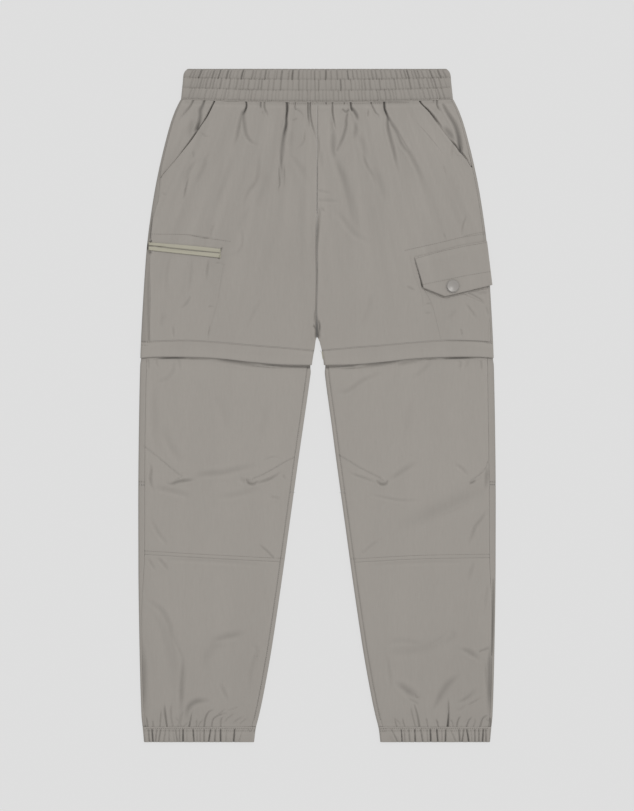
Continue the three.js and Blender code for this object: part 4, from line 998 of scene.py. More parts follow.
def shell(node, form, material):
    # A tube pressed flat, or a back whose edges roll onto the front as far as its seams
    side = form["side"]
    topAt, bottomAt, inEdge, outEdge = [form[key] for key in ("topAt", "bottomAt", "inEdge", "outEdge")]
    lips = form.get("lips")
    isTube = lips is None
    lipSteps = spread(making["lip"], making["lipPitch"])
    spots = []                                     # across, cos, sin, and how far along a lip
    if isTube:
        spots += [(t, 0, 1, 0) for t in np.linspace(1, 0, form["faceColumns"] + 1)]
    elif lips[0]:
        spots += [(0, 0, 1, t) for t in 1 - lipSteps]
    if isTube or lips[0]:
        spots += [(0, c, s, 0) for c, s in zip(*rollTurns(90, 270))]
    spots += [(t, 0, -1, 0) for t in np.linspace(0, 1, form["underColumns"] + 1)]
    spots += [(1, c, s, 0) for c, s in zip(*rollTurns(270, 450))]
    if not isTube:
        spots += [(1, 0, 1, t) for t in lipSteps]
    across, cosine, sine, onLip = [np.array(values)[None, :] for values in zip(*spots)]
    outer = across > 0.5
    low = form.get("low", lambda d: 0.0 * d)

    def xAt(down):
        radius = (form["high"] - low(down)) / 2
        ends = [inEdge(down) + (radius if isTube or lips[0] else 0), outEdge(down) - radius]
        x = mix(*ends, across) + radius * cosine
        if not isTube:
            x = np.where((onLip > 0) & outer, mix(ends[1], lips[1](down), onLip), x)
            if lips[0]:
                x = np.where((onLip > 0) & ~outer, mix(ends[0], lips[0](down), onLip), x)
        return x

    x, down = settle(xAt, topAt, bottomAt, rowsOf(form, form["rowPitch"]))
    bottomZ = low(down) + 0.0 * x
    radius = (form["high"] - bottomZ) / 2
    middle = bottomZ + radius
    face = form["face"](side * x, down)
    if not isTube:
        fromSeam = (1 - onLip) * making["dipReach"] + making["farAway"] * (onLip == 0)
        face = face - gapBeside(fromSeam, cloth["seamDip"])
        face = face - form["fall"] * (1 - onLip) * outer
    below = sine < -0.99
    z = middle + np.where(sine > 0, sine * (face - middle), sine * radius)
    z = z + np.where(below, form.get("under", underFace)(side * x, down), 0)
    loop = [np.hstack([array, array[:, :1]]) if isTube else array for array in (x, down, z)]
    arc = np.hypot(np.diff(loop[0], axis=1), np.diff(loop[2], axis=1)).cumsum(axis=1)
    arc = np.hstack([np.zeros((len(arc), 1)), arc])
    arc = arc - arc[:, [arc.shape[1] // 2]]
    uv = (np.stack([arc, -loop[1]], axis=-1) * mm).reshape(-1, 2)
    index = gridOf(x.shape)
    if isTube:
        index = np.hstack([index, index[:, :1]])
    piece = pieceOf(node + "Cloth", side * x, down, z, quadsOf(index, side < 0).tolist(), material)
    creased = creaseShade(form.get("relief", legRelief), side * x, down, form.get("baseShade", 0.0))
    rim = np.exp(-np.maximum(outEdge(down) - x, 0) / form.get("rimReach", 1.0))
    strip = form.get("rimShade", 0.0) * rim + form.get("stripShade", 0.0)
    strip = strip * outer * ~below
    dress(piece, uv[quadsOf(gridOf(arc.shape), side < 0).ravel()],
          np.where(sine > 0, np.maximum(creased, strip), strip))
    thicken(piece, form["wall"])
    fullness = form.get("fullness", 1)
    declareCloth(node,
                 gridArea(*loop) * fullness)


# Node trees
def addNode(tree, kind, inputs, **settings):
    # inputs holds a value or another node's output for each named input
    node = tree.nodes.new(kind)
    for name, value in settings.items():
        setattr(node, name, value)
    for name, value in inputs.items():
        if isinstance(value, bpy.types.NodeSocket):
            tree.links.new(value, node.inputs[name])
        else:
            node.inputs[name].default_value = value
    return node


def newTree(name, kind, inputs, outputs):
    tree = bpy.data.node_groups.new(name, kind)
    for label, socketKind, *value in inputs:
        socket = tree.interface.new_socket(label, in_out="INPUT", socket_type=socketKind)
        if value:
            socket.default_value = value[0]
    for label, socketKind in outputs:
        tree.interface.new_socket(label, in_out="OUTPUT", socket_type=socketKind)
    return tree, tree.nodes.new("NodeGroupInput").outputs, tree.nodes.new("NodeGroupOutput").inputs


# Sewing: each line of stitches is a path on a piece's face, and the tree lays the threads on it
thread = {"pitch": 2.3, "length": 1.5, "width": 0.6, "lift": 0.02, "pathStep": 1.5,
          "least": (0.8, 0.8, 0.7), "most": (1.1, 1.1, 1.1), "seed": 5}


def stitchTree():
    tree, given, made = newTree(
        "stitchesAlongPath", "GeometryNodeTree",
        [("Path", "NodeSocketGeometry"), ("Pitch", "NodeSocketFloat"), ("Length", "NodeSocketFloat"),
         ("Width", "NodeSocketFloat"), ("Thread", "NodeSocketMaterial")],
        [("Stitches", "NodeSocketGeometry")])
    path = addNode(tree, "GeometryNodeMeshToCurve", {"Mesh": given["Path"]})
    path = addNode(tree, "GeometryNodeResampleCurve",
                   {"Curve": path.outputs["Curve"], "Length": given["Pitch"]}, mode="LENGTH")
    bead = addNode(tree, "GeometryNodeMeshIcoSphere", {"Subdivisions": 1, "Radius": 0.5})
    size = addNode(tree, "ShaderNodeCombineXYZ",
                   {"X": given["Length"], "Y": given["Width"], "Z": given["Width"]})
    bead = addNode(tree, "GeometryNodeTransform",
                   {"Geometry": bead.outputs["Mesh"], "Scale": size.outputs["Vector"]})
    along = addNode(tree, "GeometryNodeInputTangent", {})
    along = addNode(tree, "FunctionNodeAlignRotationToVector", {"Vector": along.outputs["Tangent"]}, axis="X")
    uneven = addNode(tree, "FunctionNodeRandomValue",
                     {"Min": thread["least"], "Max": thread["most"], "Seed": thread["seed"]},
                     data_type="FLOAT_VECTOR")
    laid = addNode(tree, "GeometryNodeInstanceOnPoints",
                   {"Points": path.outputs["Curve"], "Instance": bead.outputs["Geometry"],
                    "Rotation": along.outputs["Rotation"], "Scale": uneven.outputs["Value"]})
    real = addNode(tree, "GeometryNodeRealizeInstances", {"Geometry": laid.outputs["Instances"]})
    smooth = addNode(tree, "GeometryNodeSetShadeSmooth", {"Geometry": real.outputs["Geometry"]})
    painted = addNode(tree, "GeometryNodeSetMaterial",
                      {"Geometry": smooth.outputs["Geometry"], "Material": given["Thread"]})
    tree.links.new(painted.outputs["Geometry"], made["Stitches"])
    return tree


def fillTree(modifier, tree, values):
    modifier.node_group = tree
    for item in tree.interface.items_tree:
        if item.item_type == "SOCKET" and item.in_out == "INPUT" and item.name in values:
            modifier[item.identifier] = values[item.name]


def asPlainMesh(source, name):
    bpy.context.view_layer.update()
    shaped = source.evaluated_get(bpy.context.evaluated_depsgraph_get())
    mesh = bpy.data.meshes.new_from_object(shaped)
    mesh.name = name
    bpy.data.objects.remove(source)
    return place(name, mesh)


def sew(name, seams):
    # seams are (face, [(x, down), ...]) with x signed; each gets points close enough to follow folds
    spots = []
    edges = []
    for face, path in seams:
        bends = np.array(path, float)
        lengths = np.concatenate([[0], np.linalg.norm(np.diff(bends, axis=0), axis=1).cumsum()])
        at = np.linspace(0, lengths[-1], max(2, int(lengths[-1] / thread["pathStep"])))
        x = np.interp(at, lengths, bends[:, 0])
        down = np.interp(at, lengths, bends[:, 1])
        z = face(x, down) + thread["lift"]
        first = len(spots)
        spots += np.stack([x * mm, (garmentLength / 2 - down) * mm, z * mm], axis=-1).tolist()
        edges += [(k, k + 1) for k in range(first, len(spots) - 1)]
    mesh = bpy.data.meshes.new(name + "Path")
    mesh.from_pydata(spots, edges, [])
    path = place(name + "Path", mesh)
    fillTree(path.modifiers.new("stitches", "NODES"), stitching,
             {"Pitch": thread["pitch"] * mm, "Length": thread["length"] * mm, "Width": thread["width"] * mm,
              "Thread": threadLook})
    piece = asPlainMesh(path, name)
    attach(piece, "root")


# Materials. Heights are millimetres, and a tone spread is a part of the colour.
finish = {
    "cloth": {"colour": (0.3225, 0.3, 0.2735), "roughness": 0.78, "specular": 0.25, "sheen": 0.05,
              "creaseShadeStrength": 0.75, "toneSpread": 0.034, "crinkle": 0.16},
    "tape": {"colour": (0.385, 0.366, 0.295), "roughness": 0.7, "specular": 0.25, "sheen": 0.05,
             "creaseShadeStrength": 0.3, "toneSpread": 0.01, "crinkle": 0.01},
    "snap": {"colour": (0.3, 0.282, 0.262), "roughness": 0.34, "specular": 0.8},
    # thread in the cloth's hue, coloured darker as painted shade of the holes the stitches sink into
    "thread": {"colour": (0.17, 0.157, 0.142), "roughness": 0.75, "specular": 0.25},
    "weave": 0.02,
    "weavePitch": 0.4,
    "crinkleAcross": 2.4,
    "crinkleAlong": 15.0,
    "fineCrinkle": {"Scale": 1.0, "Detail": 3.0, "Roughness": 0.55, "Distortion": 0.4},
    "broadCrinkle": {"Scale": 0.06, "Detail": 2.0},
    "crinkleShade": 0.45,      # shares in the tone of the crinkle's painted shade and of the broad random tone
    "broadTone": 0.55,
}


def mathNode(tree, operation, a, b=0.0):
    return addNode(tree, "ShaderNodeMath", {0: a, 1: b}, operation=operation).outputs[0]


def weaveGroup():
    # plain weave: the height of threads that pass over and under each other
    group, given, made = newTree(
        "plainWeave", "ShaderNodeTree",
        [("Place", "NodeSocketVector"), ("Pitch", "NodeSocketFloat", finish["weavePitch"])],
        [("Height", "NodeSocketFloat")])
    parts = addNode(group, "ShaderNodeSeparateXYZ", {0: given["Place"]}).outputs
    turns = mathNode(group, "DIVIDE", math.pi / mm, given["Pitch"])
    warp, weft = [mathNode(group, "SINE", mathNode(group, "MULTIPLY", parts[axis], turns)) for axis in "XY"]
    group.links.new(mathNode(group, "MULTIPLY", warp, weft), made["Height"])
    return group


def crinkleGroup():
    # short soft streaks that run down the cloth, as washed and dried nylon has. Its tone is
    # painted shade, darker in the streaks' hollows and lighter on their crests, with a broad tone that varies
    # at random
    group, given, made = newTree(
        "dryCrinkle", "ShaderNodeTree",
        [("Place", "NodeSocketVector"), ("Across", "NodeSocketFloat", finish["crinkleAcross"]),
         ("Along", "NodeSocketFloat", finish["crinkleAlong"])],
        [("Height", "NodeSocketFloat"), ("Tone", "NodeSocketFloat")])
    parts = addNode(group, "ShaderNodeSeparateXYZ", {0: given["Place"]}).outputs
    across, along = [mathNode(group, "DIVIDE", parts[axis], mathNode(group, "MULTIPLY", given[pitch], mm))
                     for axis, pitch in (("X", "Across"), ("Y", "Along"))]
    spot = addNode(group, "ShaderNodeCombineXYZ", {"X": across, "Y": along}).outputs[0]
    fine = addNode(group, "ShaderNodeTexNoise", {"Vector": spot, **finish["fineCrinkle"]}).outputs["Fac"]
    broad = addNode(group, "ShaderNodeTexNoise", {"Vector": spot, **finish["broadCrinkle"]}).outputs["Fac"]
    group.links.new(fine, made["Height"])
    tone = mathNode(group, "ADD", mathNode(group, "MULTIPLY", fine, finish["crinkleShade"]),
                    mathNode(group, "MULTIPLY", broad, finish["broadTone"]))
    group.links.new(tone, made["Tone"])
    return group


def newMaterial(name, look):
    material = bpy.data.materials.new(name)
    material.use_nodes = True
    surface = material.node_tree.nodes["Principled BSDF"].inputs
    surface["Roughness"].default_value = look["roughness"]
    surface["Specular IOR Level"].default_value = look["specular"]
    return material, material.node_tree, surface


def fabricMaterial(name, look):
    material, tree, surface = newMaterial(name, look)
    surface["Sheen Weight"].default_value = look["sheen"]
    uv = addNode(tree, "ShaderNodeUVMap", {}, uv_map="clothUv").outputs["UV"]
    woven = addNode(tree, "ShaderNodeGroup", {}, node_tree=weave)
    woven.inputs["Pitch"].default_value = finish["weavePitch"]
    dried = addNode(tree, "ShaderNodeGroup", {}, node_tree=crinkle)
    tree.links.new(uv, woven.inputs["Place"])
    tree.links.new(uv, dried.inputs["Place"])
    bump = addNode(tree, "ShaderNodeBump",
                   {"Distance": look["crinkle"] * mm, "Height": dried.outputs["Height"]})
    bump = addNode(tree, "ShaderNodeBump",
                   {"Distance": finish["weave"] * mm, "Height": woven.outputs["Height"],
                    "Normal": bump.outputs["Normal"]})
    tree.links.new(bump.outputs["Normal"], surface["Normal"])
    crease = addNode(tree, "ShaderNodeAttribute", {}, attribute_name="foldShade")
    tones = addNode(tree, "ShaderNodeMapRange",
                    {"Value": dried.outputs["Tone"], "From Min": 0.3, "From Max": 0.7,
                     "To Min": 1 - look["toneSpread"], "To Max": 1 + look["toneSpread"]})
    # painted shade in the creases from the foldShade attribute, times the crinkle's painted shade and random
    # tone
    creased = mathNode(tree, "MULTIPLY", crease.outputs["Fac"], look["creaseShadeStrength"])
    shadeAndTone = mathNode(tree, "MULTIPLY", mathNode(tree, "SUBTRACT", 1.0, creased), tones.outputs["Result"])
    shaded = addNode(tree, "ShaderNodeVectorMath", {0: look["colour"], "Scale": shadeAndTone}, operation="SCALE")
    tree.links.new(shaded.outputs["Vector"], surface["Base Color"])
    return material


def plainMaterial(name, look):
    material, _, surface = newMaterial(name, look)
    surface["Base Color"].default_value = (*look["colour"], 1)
    return material


weave = weaveGroup()
crinkle = crinkleGroup()
clothLook = fabricMaterial("warmGreyNylon", finish["cloth"])
tapeLook = fabricMaterial("paleZipTape", finish["tape"])
snapLook = plainMaterial("paintedSnap", finish["snap"])
threadLook = plainMaterial("threadWithPaintedShade", finish["thread"])
stitching = stitchTree()


# Waistband and cuffs
def level(height):
    return lambda x: height + 0.0 * np.asarray(x, float)


def waistEdge(down):
    return curve(waistHalf, "down", "half", down)


gathered = {"relief": elasticRelief, "fullness": 1.25, "held": "gathered", "restsOn": []}
shell("waistband", {
    **gathered, "side": 1, "inEdge": lambda d: -waistEdge(d), "outEdge": waistEdge, "high": 5.0,
    "topAt": level(0.0), "bottomAt": waistBottom, "face": waistFace, "under": gatheredUnder(1.2),
    "wall": waistband["wall"], "faceColumns": 470, "underColumns": 130, "rowPitch": 0.9, "baseShade": 0.085,
}, clothLook)
for side, word in halves:
    shell(word + "Cuff", {
        **gathered, "side": side, "inEdge": innerOf(word), "outEdge": outerAt, "high": layers["front"],
        "topAt": level(cuff["top"]), "bottomAt": level(garmentLength), "face": cuffFace,
        "under": gatheredUnder(1.1), "wall": 1.0, "faceColumns": 150, "underColumns": 60, "rowPitch": 0.8,
    }, clothLook)
print("elastic pieces made")


# Uppers, with the side-front that shows inside each hip pocket
def upperTop(x):
    return waistBottom(x) + layers["seam"]


def upperBottom(x):
    return bandTopAt(x) - layers["seam"]


opening = {
    "lift": 0.35,          # how proud the front stands along the opening
    "liftReach": 9.0,
    "sink": 0.7,           # how far the side-front sinks beside it
    "sinkReach": 16.0,
    "gap": 0.4,
    "right": {"fall": 0.9, "stripShade": 0.14},   # the rolled edge of the back, by the wearer's side
    "left": {"fall": 0.0, "stripShade": 0.03},
    "liftEnd": 8.0,        # how far above and below an opening's end each of the two dies out
    "sinkEnd": 12.0,
}


def makeUpper(side, word):
    end = hipPockets[word]["end"]
    sideSeam = sideSeamOf(word)

    def slant(down):
        return curve(hipPockets[word], "down", "out", down)

    def besideSeam(down):
        return sideSeam(down) - layers["seam"]

    def dyingOut(down, reach):
        return ease(end + reach, end - reach, down)

    def proudFace(x, down):
        nearSlant = ease(opening["liftReach"], 0, slant(down) - np.abs(x))
        return frontFace(x, down) + opening["lift"] * (nearSlant * dyingOut(down, opening["liftEnd"]))

    def sunkFace(x, down):
        beside = opening["sink"] * ease(opening["sinkReach"], 0, np.abs(x) - slant(down))
        return frontFace(x, down, facingRelief) - beside * dyingOut(down, opening["sinkEnd"])

    back = word + "BackUpper"
    panel(word + "FrontUpper", {
        "side": side, "inEdge": innerOf(word), "outEdge": lambda d: np.minimum(slant(d), besideSeam(d)),
        "topAt": upperTop, "bottomAt": upperBottom, "face": proudFace,
        "dips": {"in": 0.12, "out": 0.05, "top": 0.05, "bottom": 0.04}, "restsOn": [back],
    }, clothLook)
    panel(word + "PocketFacing", {
        "side": side, "inEdge": lambda d: slant(d) + opening["gap"], "outEdge": besideSeam, "topAt": upperTop,
        "bottomAt": level(end), "face": sunkFace, "relief": facingRelief,
        "dips": {"in": 0.4, "out": 0.05, "top": 0.1, "bottom": 0.2}, "restsOn": [back],
    }, clothLook)
    shell(back, {
        "side": side, "inEdge": innerOf(word), "outEdge": outerAt, "lips": (None, sideSeam),
        "high": layers["front"], "topAt": upperTop, "bottomAt": upperBottom, "face": frontFace,
        "wall": cloth["wall"], "underColumns": 76, "rowPitch": 2.4, "restsOn": [], "rimShade": 0.25,
        "rimReach": 1.3, **opening[word],
    }, clothLook)


for side, word in halves:
    makeUpper(side, word)
print("uppers made")


# Cover bands, and the legs that come out from under them
legUnder = {   # how much smaller a leg is inside its band
    "in": 1.5,
    "out": 0.8,
    "low": 1.3,
    "lowColumn": 120.0,
    "reach": (0.4, 9),   # below the hem, where it grows to its own size
}


def fromUnder(down, edgeAt):
    return 1 - ease(*legUnder["reach"], down - bandBottomAt(edgeAt))


def legOut(down):
    return outerAt(down) - legUnder["out"] * fromUnder(down, outerAt(down))


def legLow(down):
    return legUnder["low"] * fromUnder(down, legUnder["lowColumn"])


def legTop(x):
    return bandBottomAt(x) - layers["underBand"]


def makeLeg(side, word):
    inner = innerOf(word)
    sideSeam = sideSeamOf(word)

    def legIn(down):
        return inner(down) + legUnder["in"] * fromUnder(down, inner(down))

    def inseam(down):
        return inner(down) + inseamWrap

    def kneeAt(column, gap=0.0):
        return lambda x: seamAt(kneeSeams, column, x) + gap

    shell(word + "CoverBand", {
        "side": side, "inEdge": inner, "outEdge": outerAt, "high": 5.5, "topAt": bandTopAt,
        "bottomAt": bandBottomAt, "face": bandFace, "wall": 1.0, "faceColumns": 130, "underColumns": 50,
        "rowPitch": 1.3, "relief": plainRelief, "restsOn": [],
    }, clothLook)
    legFront = {"side": side, "inEdge": lambda d: inseam(d) + layers["seam"],
                "outEdge": lambda d: sideSeam(d) - layers["seam"], "face": frontFace}
    legBack = {"side": side, "inEdge": legIn, "outEdge": legOut, "low": legLow, "high": layers["front"],
               "lips": (inseam, sideSeam), "face": frontFace, "wall": cloth["wall"], "underColumns": 66,
               "rowPitch": 2.4, "restsOn": [], "fall": 0.3, "rimShade": 0.2, "rimReach": 1.3,
               "stripShade": 0.05}
    panel(word + "KneeFront", {
        **legFront, "topAt": legTop, "bottomAt": kneeAt(word),
        "dips": {"in": 0.2, "out": 0.3, "top": 0.0, "bottom": 0.22}, "restsOn": [word + "KneeBack"],
    }, clothLook)
    panel(word + "ShinFront", {
        **legFront, "topAt": kneeAt(word, 0.1), "bottomAt": level(cuff["top"] - 0.05),
        "dips": {"in": 0.2, "out": 0.3, "top": 0.25, "bottom": 0.08}, "restsOn": [word + "CalfBack"],
    }, clothLook)
    shell(word + "KneeBack", {**legBack, "topAt": legTop, "bottomAt": kneeAt("back")}, clothLook)
    shell(word + "CalfBack", {
        **legBack, "topAt": kneeAt("back", 0.3), "bottomAt": level(cuff["top"] - 0.3),
    }, clothLook)


for side, word in halves:
    makeLeg(side, word)
print("legs made")


# Thigh pockets, laid over the fronts
pocketSizes = {
    "gap": 0.15,
    "tape": 0.7,
    "tapeSpan": (78.0, 1.0, 7),   # a tape's length, its columns' pitch and its rows
    "tapeGap": 0.45,      # from the middle of the zip to each tape
    "tapeTrim": 0.3,
    "outerOverlap": 0.7,
    "pocketSlope": (0.5, 14),   # how low the pocket's inner edge lies, and how far in it rises
    "flapFree": (14, 42),       # below its top, where its free edge begins to stand off
    "flapThick": (0, 7),
    "flapEdge": (0.45, 0.8),    # depth and width of its rounded edge
    "pocketCloth": 0.5,
    "flapCloth": 1.1,
    "flapWall": 0.8,
    "belowFlap": 10.0,
    "ramp": 8.0,
    "freeEdge": 0.6,      # how far the flap's free edge stands off
}
tapeRows = {"x": [105.8, 139, 185.4], "middle": [202.7, 199.5, 194.5], "upper": [4.6, 4.9, 3.7],
            "lower": [5.1, 4.7, 4.6]}
pocketEdge = {"down": [210, 241, 257, 278, 300], "x": [112, 117.5, 125.6, 131.4, 136.8]}
flapRows = {
    "part": [0, 0.3, 0.65, 1],
    "topX": [107.0, 131, 159, 186.8],
    "topDown": [207.4, 201.2, 194, 189.2],
    "lowX": [116.7, 140.4, 166.5, 192.6],
    "lowDown": [240.9, 250.3, 244.1, 237.6],
}
flapHem = {"x": [107.4, 186.8], "down": [207.4, 189.2]}   # the straight line that the flap hangs from
cargoGrids = {   # width and length of each piece, and the pitch of its points that way
    "pocket": [(62.0, 1.15), (92.0, 1.3)],
    "flap": [(80.0, 1.2), (42.0, 1.2)],
}
snap = {
    "x": 149.0,
    "down": 239.1,
    "radius": 7.4,
    "height": 2.0,
    "turns": 64,
    "seatGap": 0.05,
    "sharpAngle": 50,
    # a low flange, a groove and a cap with a shallow dish, in parts of the radius and the height
    "profile": [(1, 0), (1, 0.3), (0.96, 0.42), (0.9, 0.3), (0.865, 0.3), (0.85, 0.85), (0.8, 1),
                (0.74, 0.95), (0.6, 0.72), (0.45, 0.53), (0.3, 0.4), (0.15, 0.33), (0, 0.3)],
}


def overlay(node, side, x, down, z, wall, material, relief):
    faces = quadsOf(gridOf(x.shape), side > 0)
    uv = (np.stack([side * x, -down], axis=-1) * mm).reshape(-1, 2)
    piece = pieceOf(node + "Cloth", side * x, down, z, faces.tolist(), material)
    dress(piece, uv[faces.ravel()], creaseShade(relief, side * x, down))
    thicken(piece, wall)
    declareCloth(node, gridArea(x, down, z))


def makeZipTapes():
    *length, rows = pocketSizes["tapeSpan"]
    t = spread(*length)[None, :]
    part = np.linspace(0, 1, rows)[:, None]
    for node, way, column in (("zipTapeUpper", -1, "upper"), ("zipTapeLower", 1, "lower")):
        x = mix(tapeRows["x"][0], tapeRows["x"][-1], t) + 0.0 * part
        height = part * (curve(tapeRows, "x", column, x) - pocketSizes["tapeTrim"])
        down = curve(tapeRows, "x", "middle", x) + way * (pocketSizes["tapeGap"] + height)
        z = frontFace(-x, down) + pocketSizes["gap"] + pocketSizes["tape"] - gapBeside(part * 4, 0.25)
        overlay(node, -1, x[::way], down[::way], z[::way], pocketSizes["tape"], tapeLook, legRelief)


def flapTop(x):
    x0, x1 = flapHem["x"]
    return mix(*flapHem["down"], (x - x0) / (x1 - x0))


def pocketIn(down):
    return curve(pocketEdge, "down", "x", down)


def pocketOut(down):
    return sideSeamOf("left")(down) + pocketSizes["outerOverlap"]


def flapFace(x, down):
    fall = down - flapTop(x)
    over = pocketSizes["gap"] * 2 + pocketSizes["pocketCloth"]
    gap = mix(pocketSizes["gap"], over, ease(1, pocketSizes["ramp"], fall))
    free = pocketSizes["freeEdge"] * ease(*pocketSizes["flapFree"], fall)
    thick = mix(pocketSizes["flapWall"], pocketSizes["flapCloth"], ease(*pocketSizes["flapThick"], fall))
    return frontFace(x, down) + gap + free + thick


def partsOf(name):
    across, along = cargoGrids[name]
    return spread(*across)[None, :], spread(*along)[:, None]


def makeCargoPocket():
    t, part = partsOf("pocket")
    x, down = settle(lambda d: mix(pocketIn(d), pocketOut(d), t),
                     lambda v: flapTop(v) + pocketSizes["belowFlap"], upperBottom, part)
    z = frontFace(x, down) + pocketSizes["gap"] + pocketSizes["pocketCloth"]
    z = z + (sample(pocketRelief["ridge"], x, down) - sample(pocketRelief["valley"], x, down))
    drop, reach = pocketSizes["pocketSlope"]
    edge = drop * ease(reach, 0, x - pocketIn(down)) + gapBeside(pocketOut(down) - x, 0.2, 1.6)
    edge = edge + gapBeside(upperBottom(x) - down, 0.15)
    overlay("cargoPocket", 1, x, down, z - edge, pocketSizes["pocketCloth"], clothLook, pocketRelief)


def makeCargoFlap():
    t, part = partsOf("flap")
    (width, _), (length, _) = cargoGrids["flap"]
    row = {key: np.interp(t, flapRows["part"], flapRows[key]) for key in flapRows}
    x = mix(row["topX"], row["lowX"], part)
    down = mix(row["topDown"], row["lowDown"], part)
    edges = (t * width, (1 - t) * width, (1 - part) * length)
    rim = sum(gapBeside(far, *pocketSizes["flapEdge"]) for far in edges)
    z = flapFace(x, down) - rim - gapBeside(part * length, 0.2, 0.6)
    overlay("cargoFlap", 1, x, down, z, pocketSizes["flapWall"], clothLook, plainRelief)


def makeSnapCap():
    seat = float(flapFace(snap["x"], snap["down"])) + snap["seatGap"]
    turn = np.linspace(0, 2 * np.pi, snap["turns"], endpoint=False)[None, :]
    parts = np.array(snap["profile"])
    reach, rise = (parts * (snap["radius"], snap["height"])).T[:, :, None]
    x = snap["x"] + (reach[:-1] * np.cos(turn)).ravel()
    down = snap["down"] - (reach[:-1] * np.sin(turn)).ravel()
    z = (seat + rise[:-1] + 0 * turn).ravel()
    index = gridOf((len(parts) - 1, snap["turns"]))
    index = np.hstack([index, index[:, :1]])
    faces = quadsOf(index, False).tolist()
    faces += [[a, b, x.size] for a, b in zip(index[-1, :-1], index[-1, 1:])]   # round the dish's middle
    faces.append(index[0, -2::-1].tolist())
    x, down, z = [np.append(*pair) for pair in ((x, snap["x"]), (down, snap["down"]), (z, seat + rise[-1]))]
    piece = pieceOf("snapCapPaint", x, down, z, faces, snapLook)
    piece.data.set_sharp_from_angle(angle=math.radians(snap["sharpAngle"]))
    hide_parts("snapCap")


makeZipTapes()
makeCargoPocket()
makeCargoFlap()
makeSnapCap()
for side, word in halves:
    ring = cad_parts[word + "ZipRing"].data
    ring.materials.clear()
    ring.materials.append(tapeLook)
print("pockets made")


# Sewing lines. Each row holds the x of its two ends, its points, and how far it lies from a seam.
waistSewing = {"channels": (-146, 146, 240), "seam": (-30, 100, 90), "belowSeam": 1.6}
legSewing = {
    "band": (4, 191, 90), "belowBandTop": 1.0,
    "knee": (38, 189, 80), "aboveKnee": 3.9,
    "cuff": [(71, 187, 60, 724.9), (72, 186, 60, 727.5)],
    "inseam": (328, 715, 60), "besideInner": 4.2,
}
# short bars of thread that hold the ends of seams, in photo pixels
threadBars = [
    (bandFace, (142, 341.6), (147, 341.8)),
    (bandFace, (142, 345), (147, 345.2)),
    (bandFace, (486.5, 343), (491, 343.2)),
    (cuffFace, (248, 729.3), (254, 729.5)),
    (cuffFace, (249.5, 730.7), (253.5, 730.9)),
    (cuffFace, (379.5, 728.6), (385.5, 728.4)),
    (cuffFace, (380, 730.8), (384.5, 730.6)),
    (frontFace, (138.6, 481.5), (143.5, 481.7)),
    (frontFace, (138.6, 484.5), (143.5, 484.7)),
    (frontFace, (489.8, 481.5), (494, 481.6)),
    (frontFace, (489.8, 484.3), (494, 484.4)),
    (frontFace, (289.8, 491.6), (293.6, 492)),
    (frontFace, (339.6, 492.5), (343.4, 492.8)),
]
zipPocketSewing = [
    (frontFace, (152, 234), (182, 234.5), (190, 235), (200, 237), (215, 239.5), (229.5, 241.5)),
    (frontFace, (152, 243.3), (170, 244.6), (190, 246.2), (220, 248.8)),
    (frontFace, (152, 250.8), (170, 252.3), (190, 254.6), (219, 258.6)),
]
cargoPocketSewing = [
    (frontFace, (404.5, 250.5), (420, 247), (440, 242.5), (460, 237.5), (484, 233.8)),
    (flapFace, (416, 258.3), (440, 251.5), (464, 246.2), (485, 242.6)),
    (frontFace, (464, 236), (474, 233.6), (483.5, 232)),
    (flapFace, (423, 284.5), (445, 280), (466, 275.5), (488.5, 271.8)),
]


def acrossPath(side, ends, downAt):
    return [(x, float(downAt(x))) for x in side * np.linspace(*ends)]


def fromRows(rows):
    return [(face, [fromPhoto(px, py) for px, py in route]) for face, *route in rows]


def legSeams(side, word):
    inner = innerOf(word)
    return [
        (bandFace, acrossPath(side, legSewing["band"], lambda x: bandTopAt(x) + legSewing["belowBandTop"])),
        (frontFace, acrossPath(side, legSewing["knee"],
                               lambda x: seamAt(kneeSeams, word, x) - legSewing["aboveKnee"])),
        *((cuffFace, acrossPath(side, ends, lambda x, down=down: down)) for *ends, down in legSewing["cuff"]),
        (frontFace, [(side * float(inner(down) + legSewing["besideInner"]), down)
                     for down in np.linspace(*legSewing["inseam"])]),
    ]


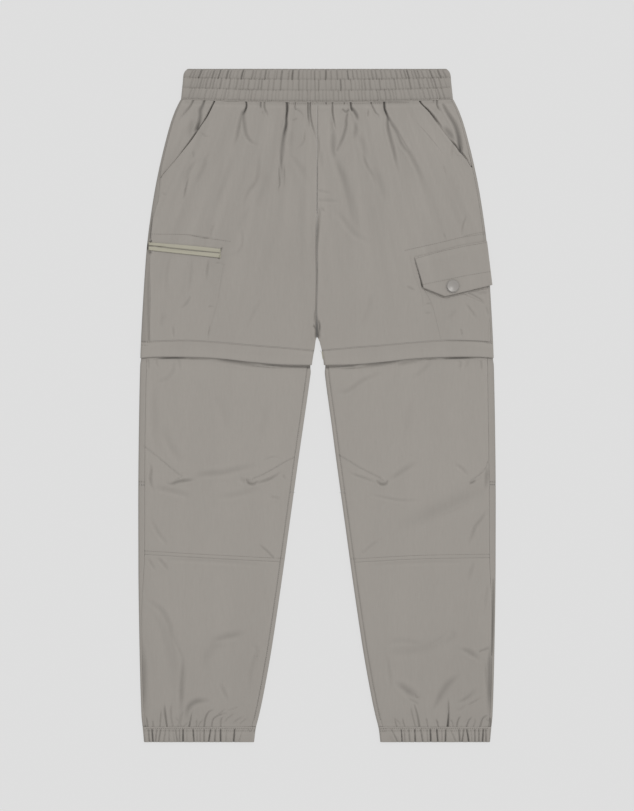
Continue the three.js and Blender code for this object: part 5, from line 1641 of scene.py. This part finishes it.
waistSeams = [(waistFace, acrossPath(1, waistSewing["channels"], lambda x, row=row: channelAt(row, x)))
              for row in (1, 2, 3)]
waistSeams.append((frontFace, acrossPath(1, waistSewing["seam"],
                                         lambda x: waistSewing["belowSeam"] + waistBottom(x))))
sew("waistStitches", waistSeams)
for side, word in halves:
    sew(word + "LegStitches", legSeams(side, word))
sew("seamBars", fromRows(threadBars))
sew("zipPocketStitches", fromRows(zipPocketSewing))
sew("cargoPocketStitches", fromRows(cargoPocketSewing))
print("sewing done")


# Floor, light and camera
studio = {
    "floorSize": 4.0,
    "floorDrop": 0.2 * mm,
    "floor": {"colour": (0.06, 0.06, 0.06), "roughness": 0.9, "specular": 0.1},
    "floorGlow": 0.67,
    "skyStrength": 0.74,
    "sunStrength": 1.05,
    "sunTurn": (math.radians(-38), 0, math.radians(-35)),
    "sunSoftness": math.radians(35),
    "lens": 85.0,
    "sensor": 36.0,
    "viewHeight": 0.8913,      # height of the view at the garment
    "aim": (0.0, 0.0, 4.2 * mm),
}


def makeStudio():
    white = (1, 1, 1, 1)
    half = studio["floorSize"] / 2
    corners = [(-half, -half), (half, -half), (half, half), (-half, half)]
    mesh = bpy.data.meshes.new("floor")
    mesh.from_pydata([(x, y, -studio["floorDrop"]) for x, y in corners], [], [(0, 1, 2, 3)])
    paint = plainMaterial("paleFloor", studio["floor"])
    surface = paint.node_tree.nodes["Principled BSDF"].inputs
    surface["Emission Color"].default_value = white
    surface["Emission Strength"].default_value = studio["floorGlow"]
    mesh.materials.append(paint)
    place("floor", mesh)
    world = bpy.data.worlds.new("studioSky")
    world.use_nodes = True
    sky = world.node_tree.nodes["Background"].inputs
    sky["Color"].default_value = white
    sky["Strength"].default_value = studio["skyStrength"]
    lamp = bpy.data.lights.new("window", "SUN")
    lamp.energy = studio["sunStrength"]
    lamp.angle = studio["sunSoftness"]
    place("window", lamp).rotation_euler = studio["sunTurn"]
    lens = bpy.data.cameras.new("camera")
    lens.lens = studio["lens"]
    lens.sensor_width = studio["sensor"]
    camera = place("camera", lens)
    x, y, z = studio["aim"]
    camera.location = (x, y, z + studio["viewHeight"] * studio["lens"] / studio["sensor"])
    scene = bpy.context.scene
    scene.world = world
    scene.camera = camera
    scene.view_settings.view_transform = "Standard"
    scene.view_settings.look = "None"


makeStudio()
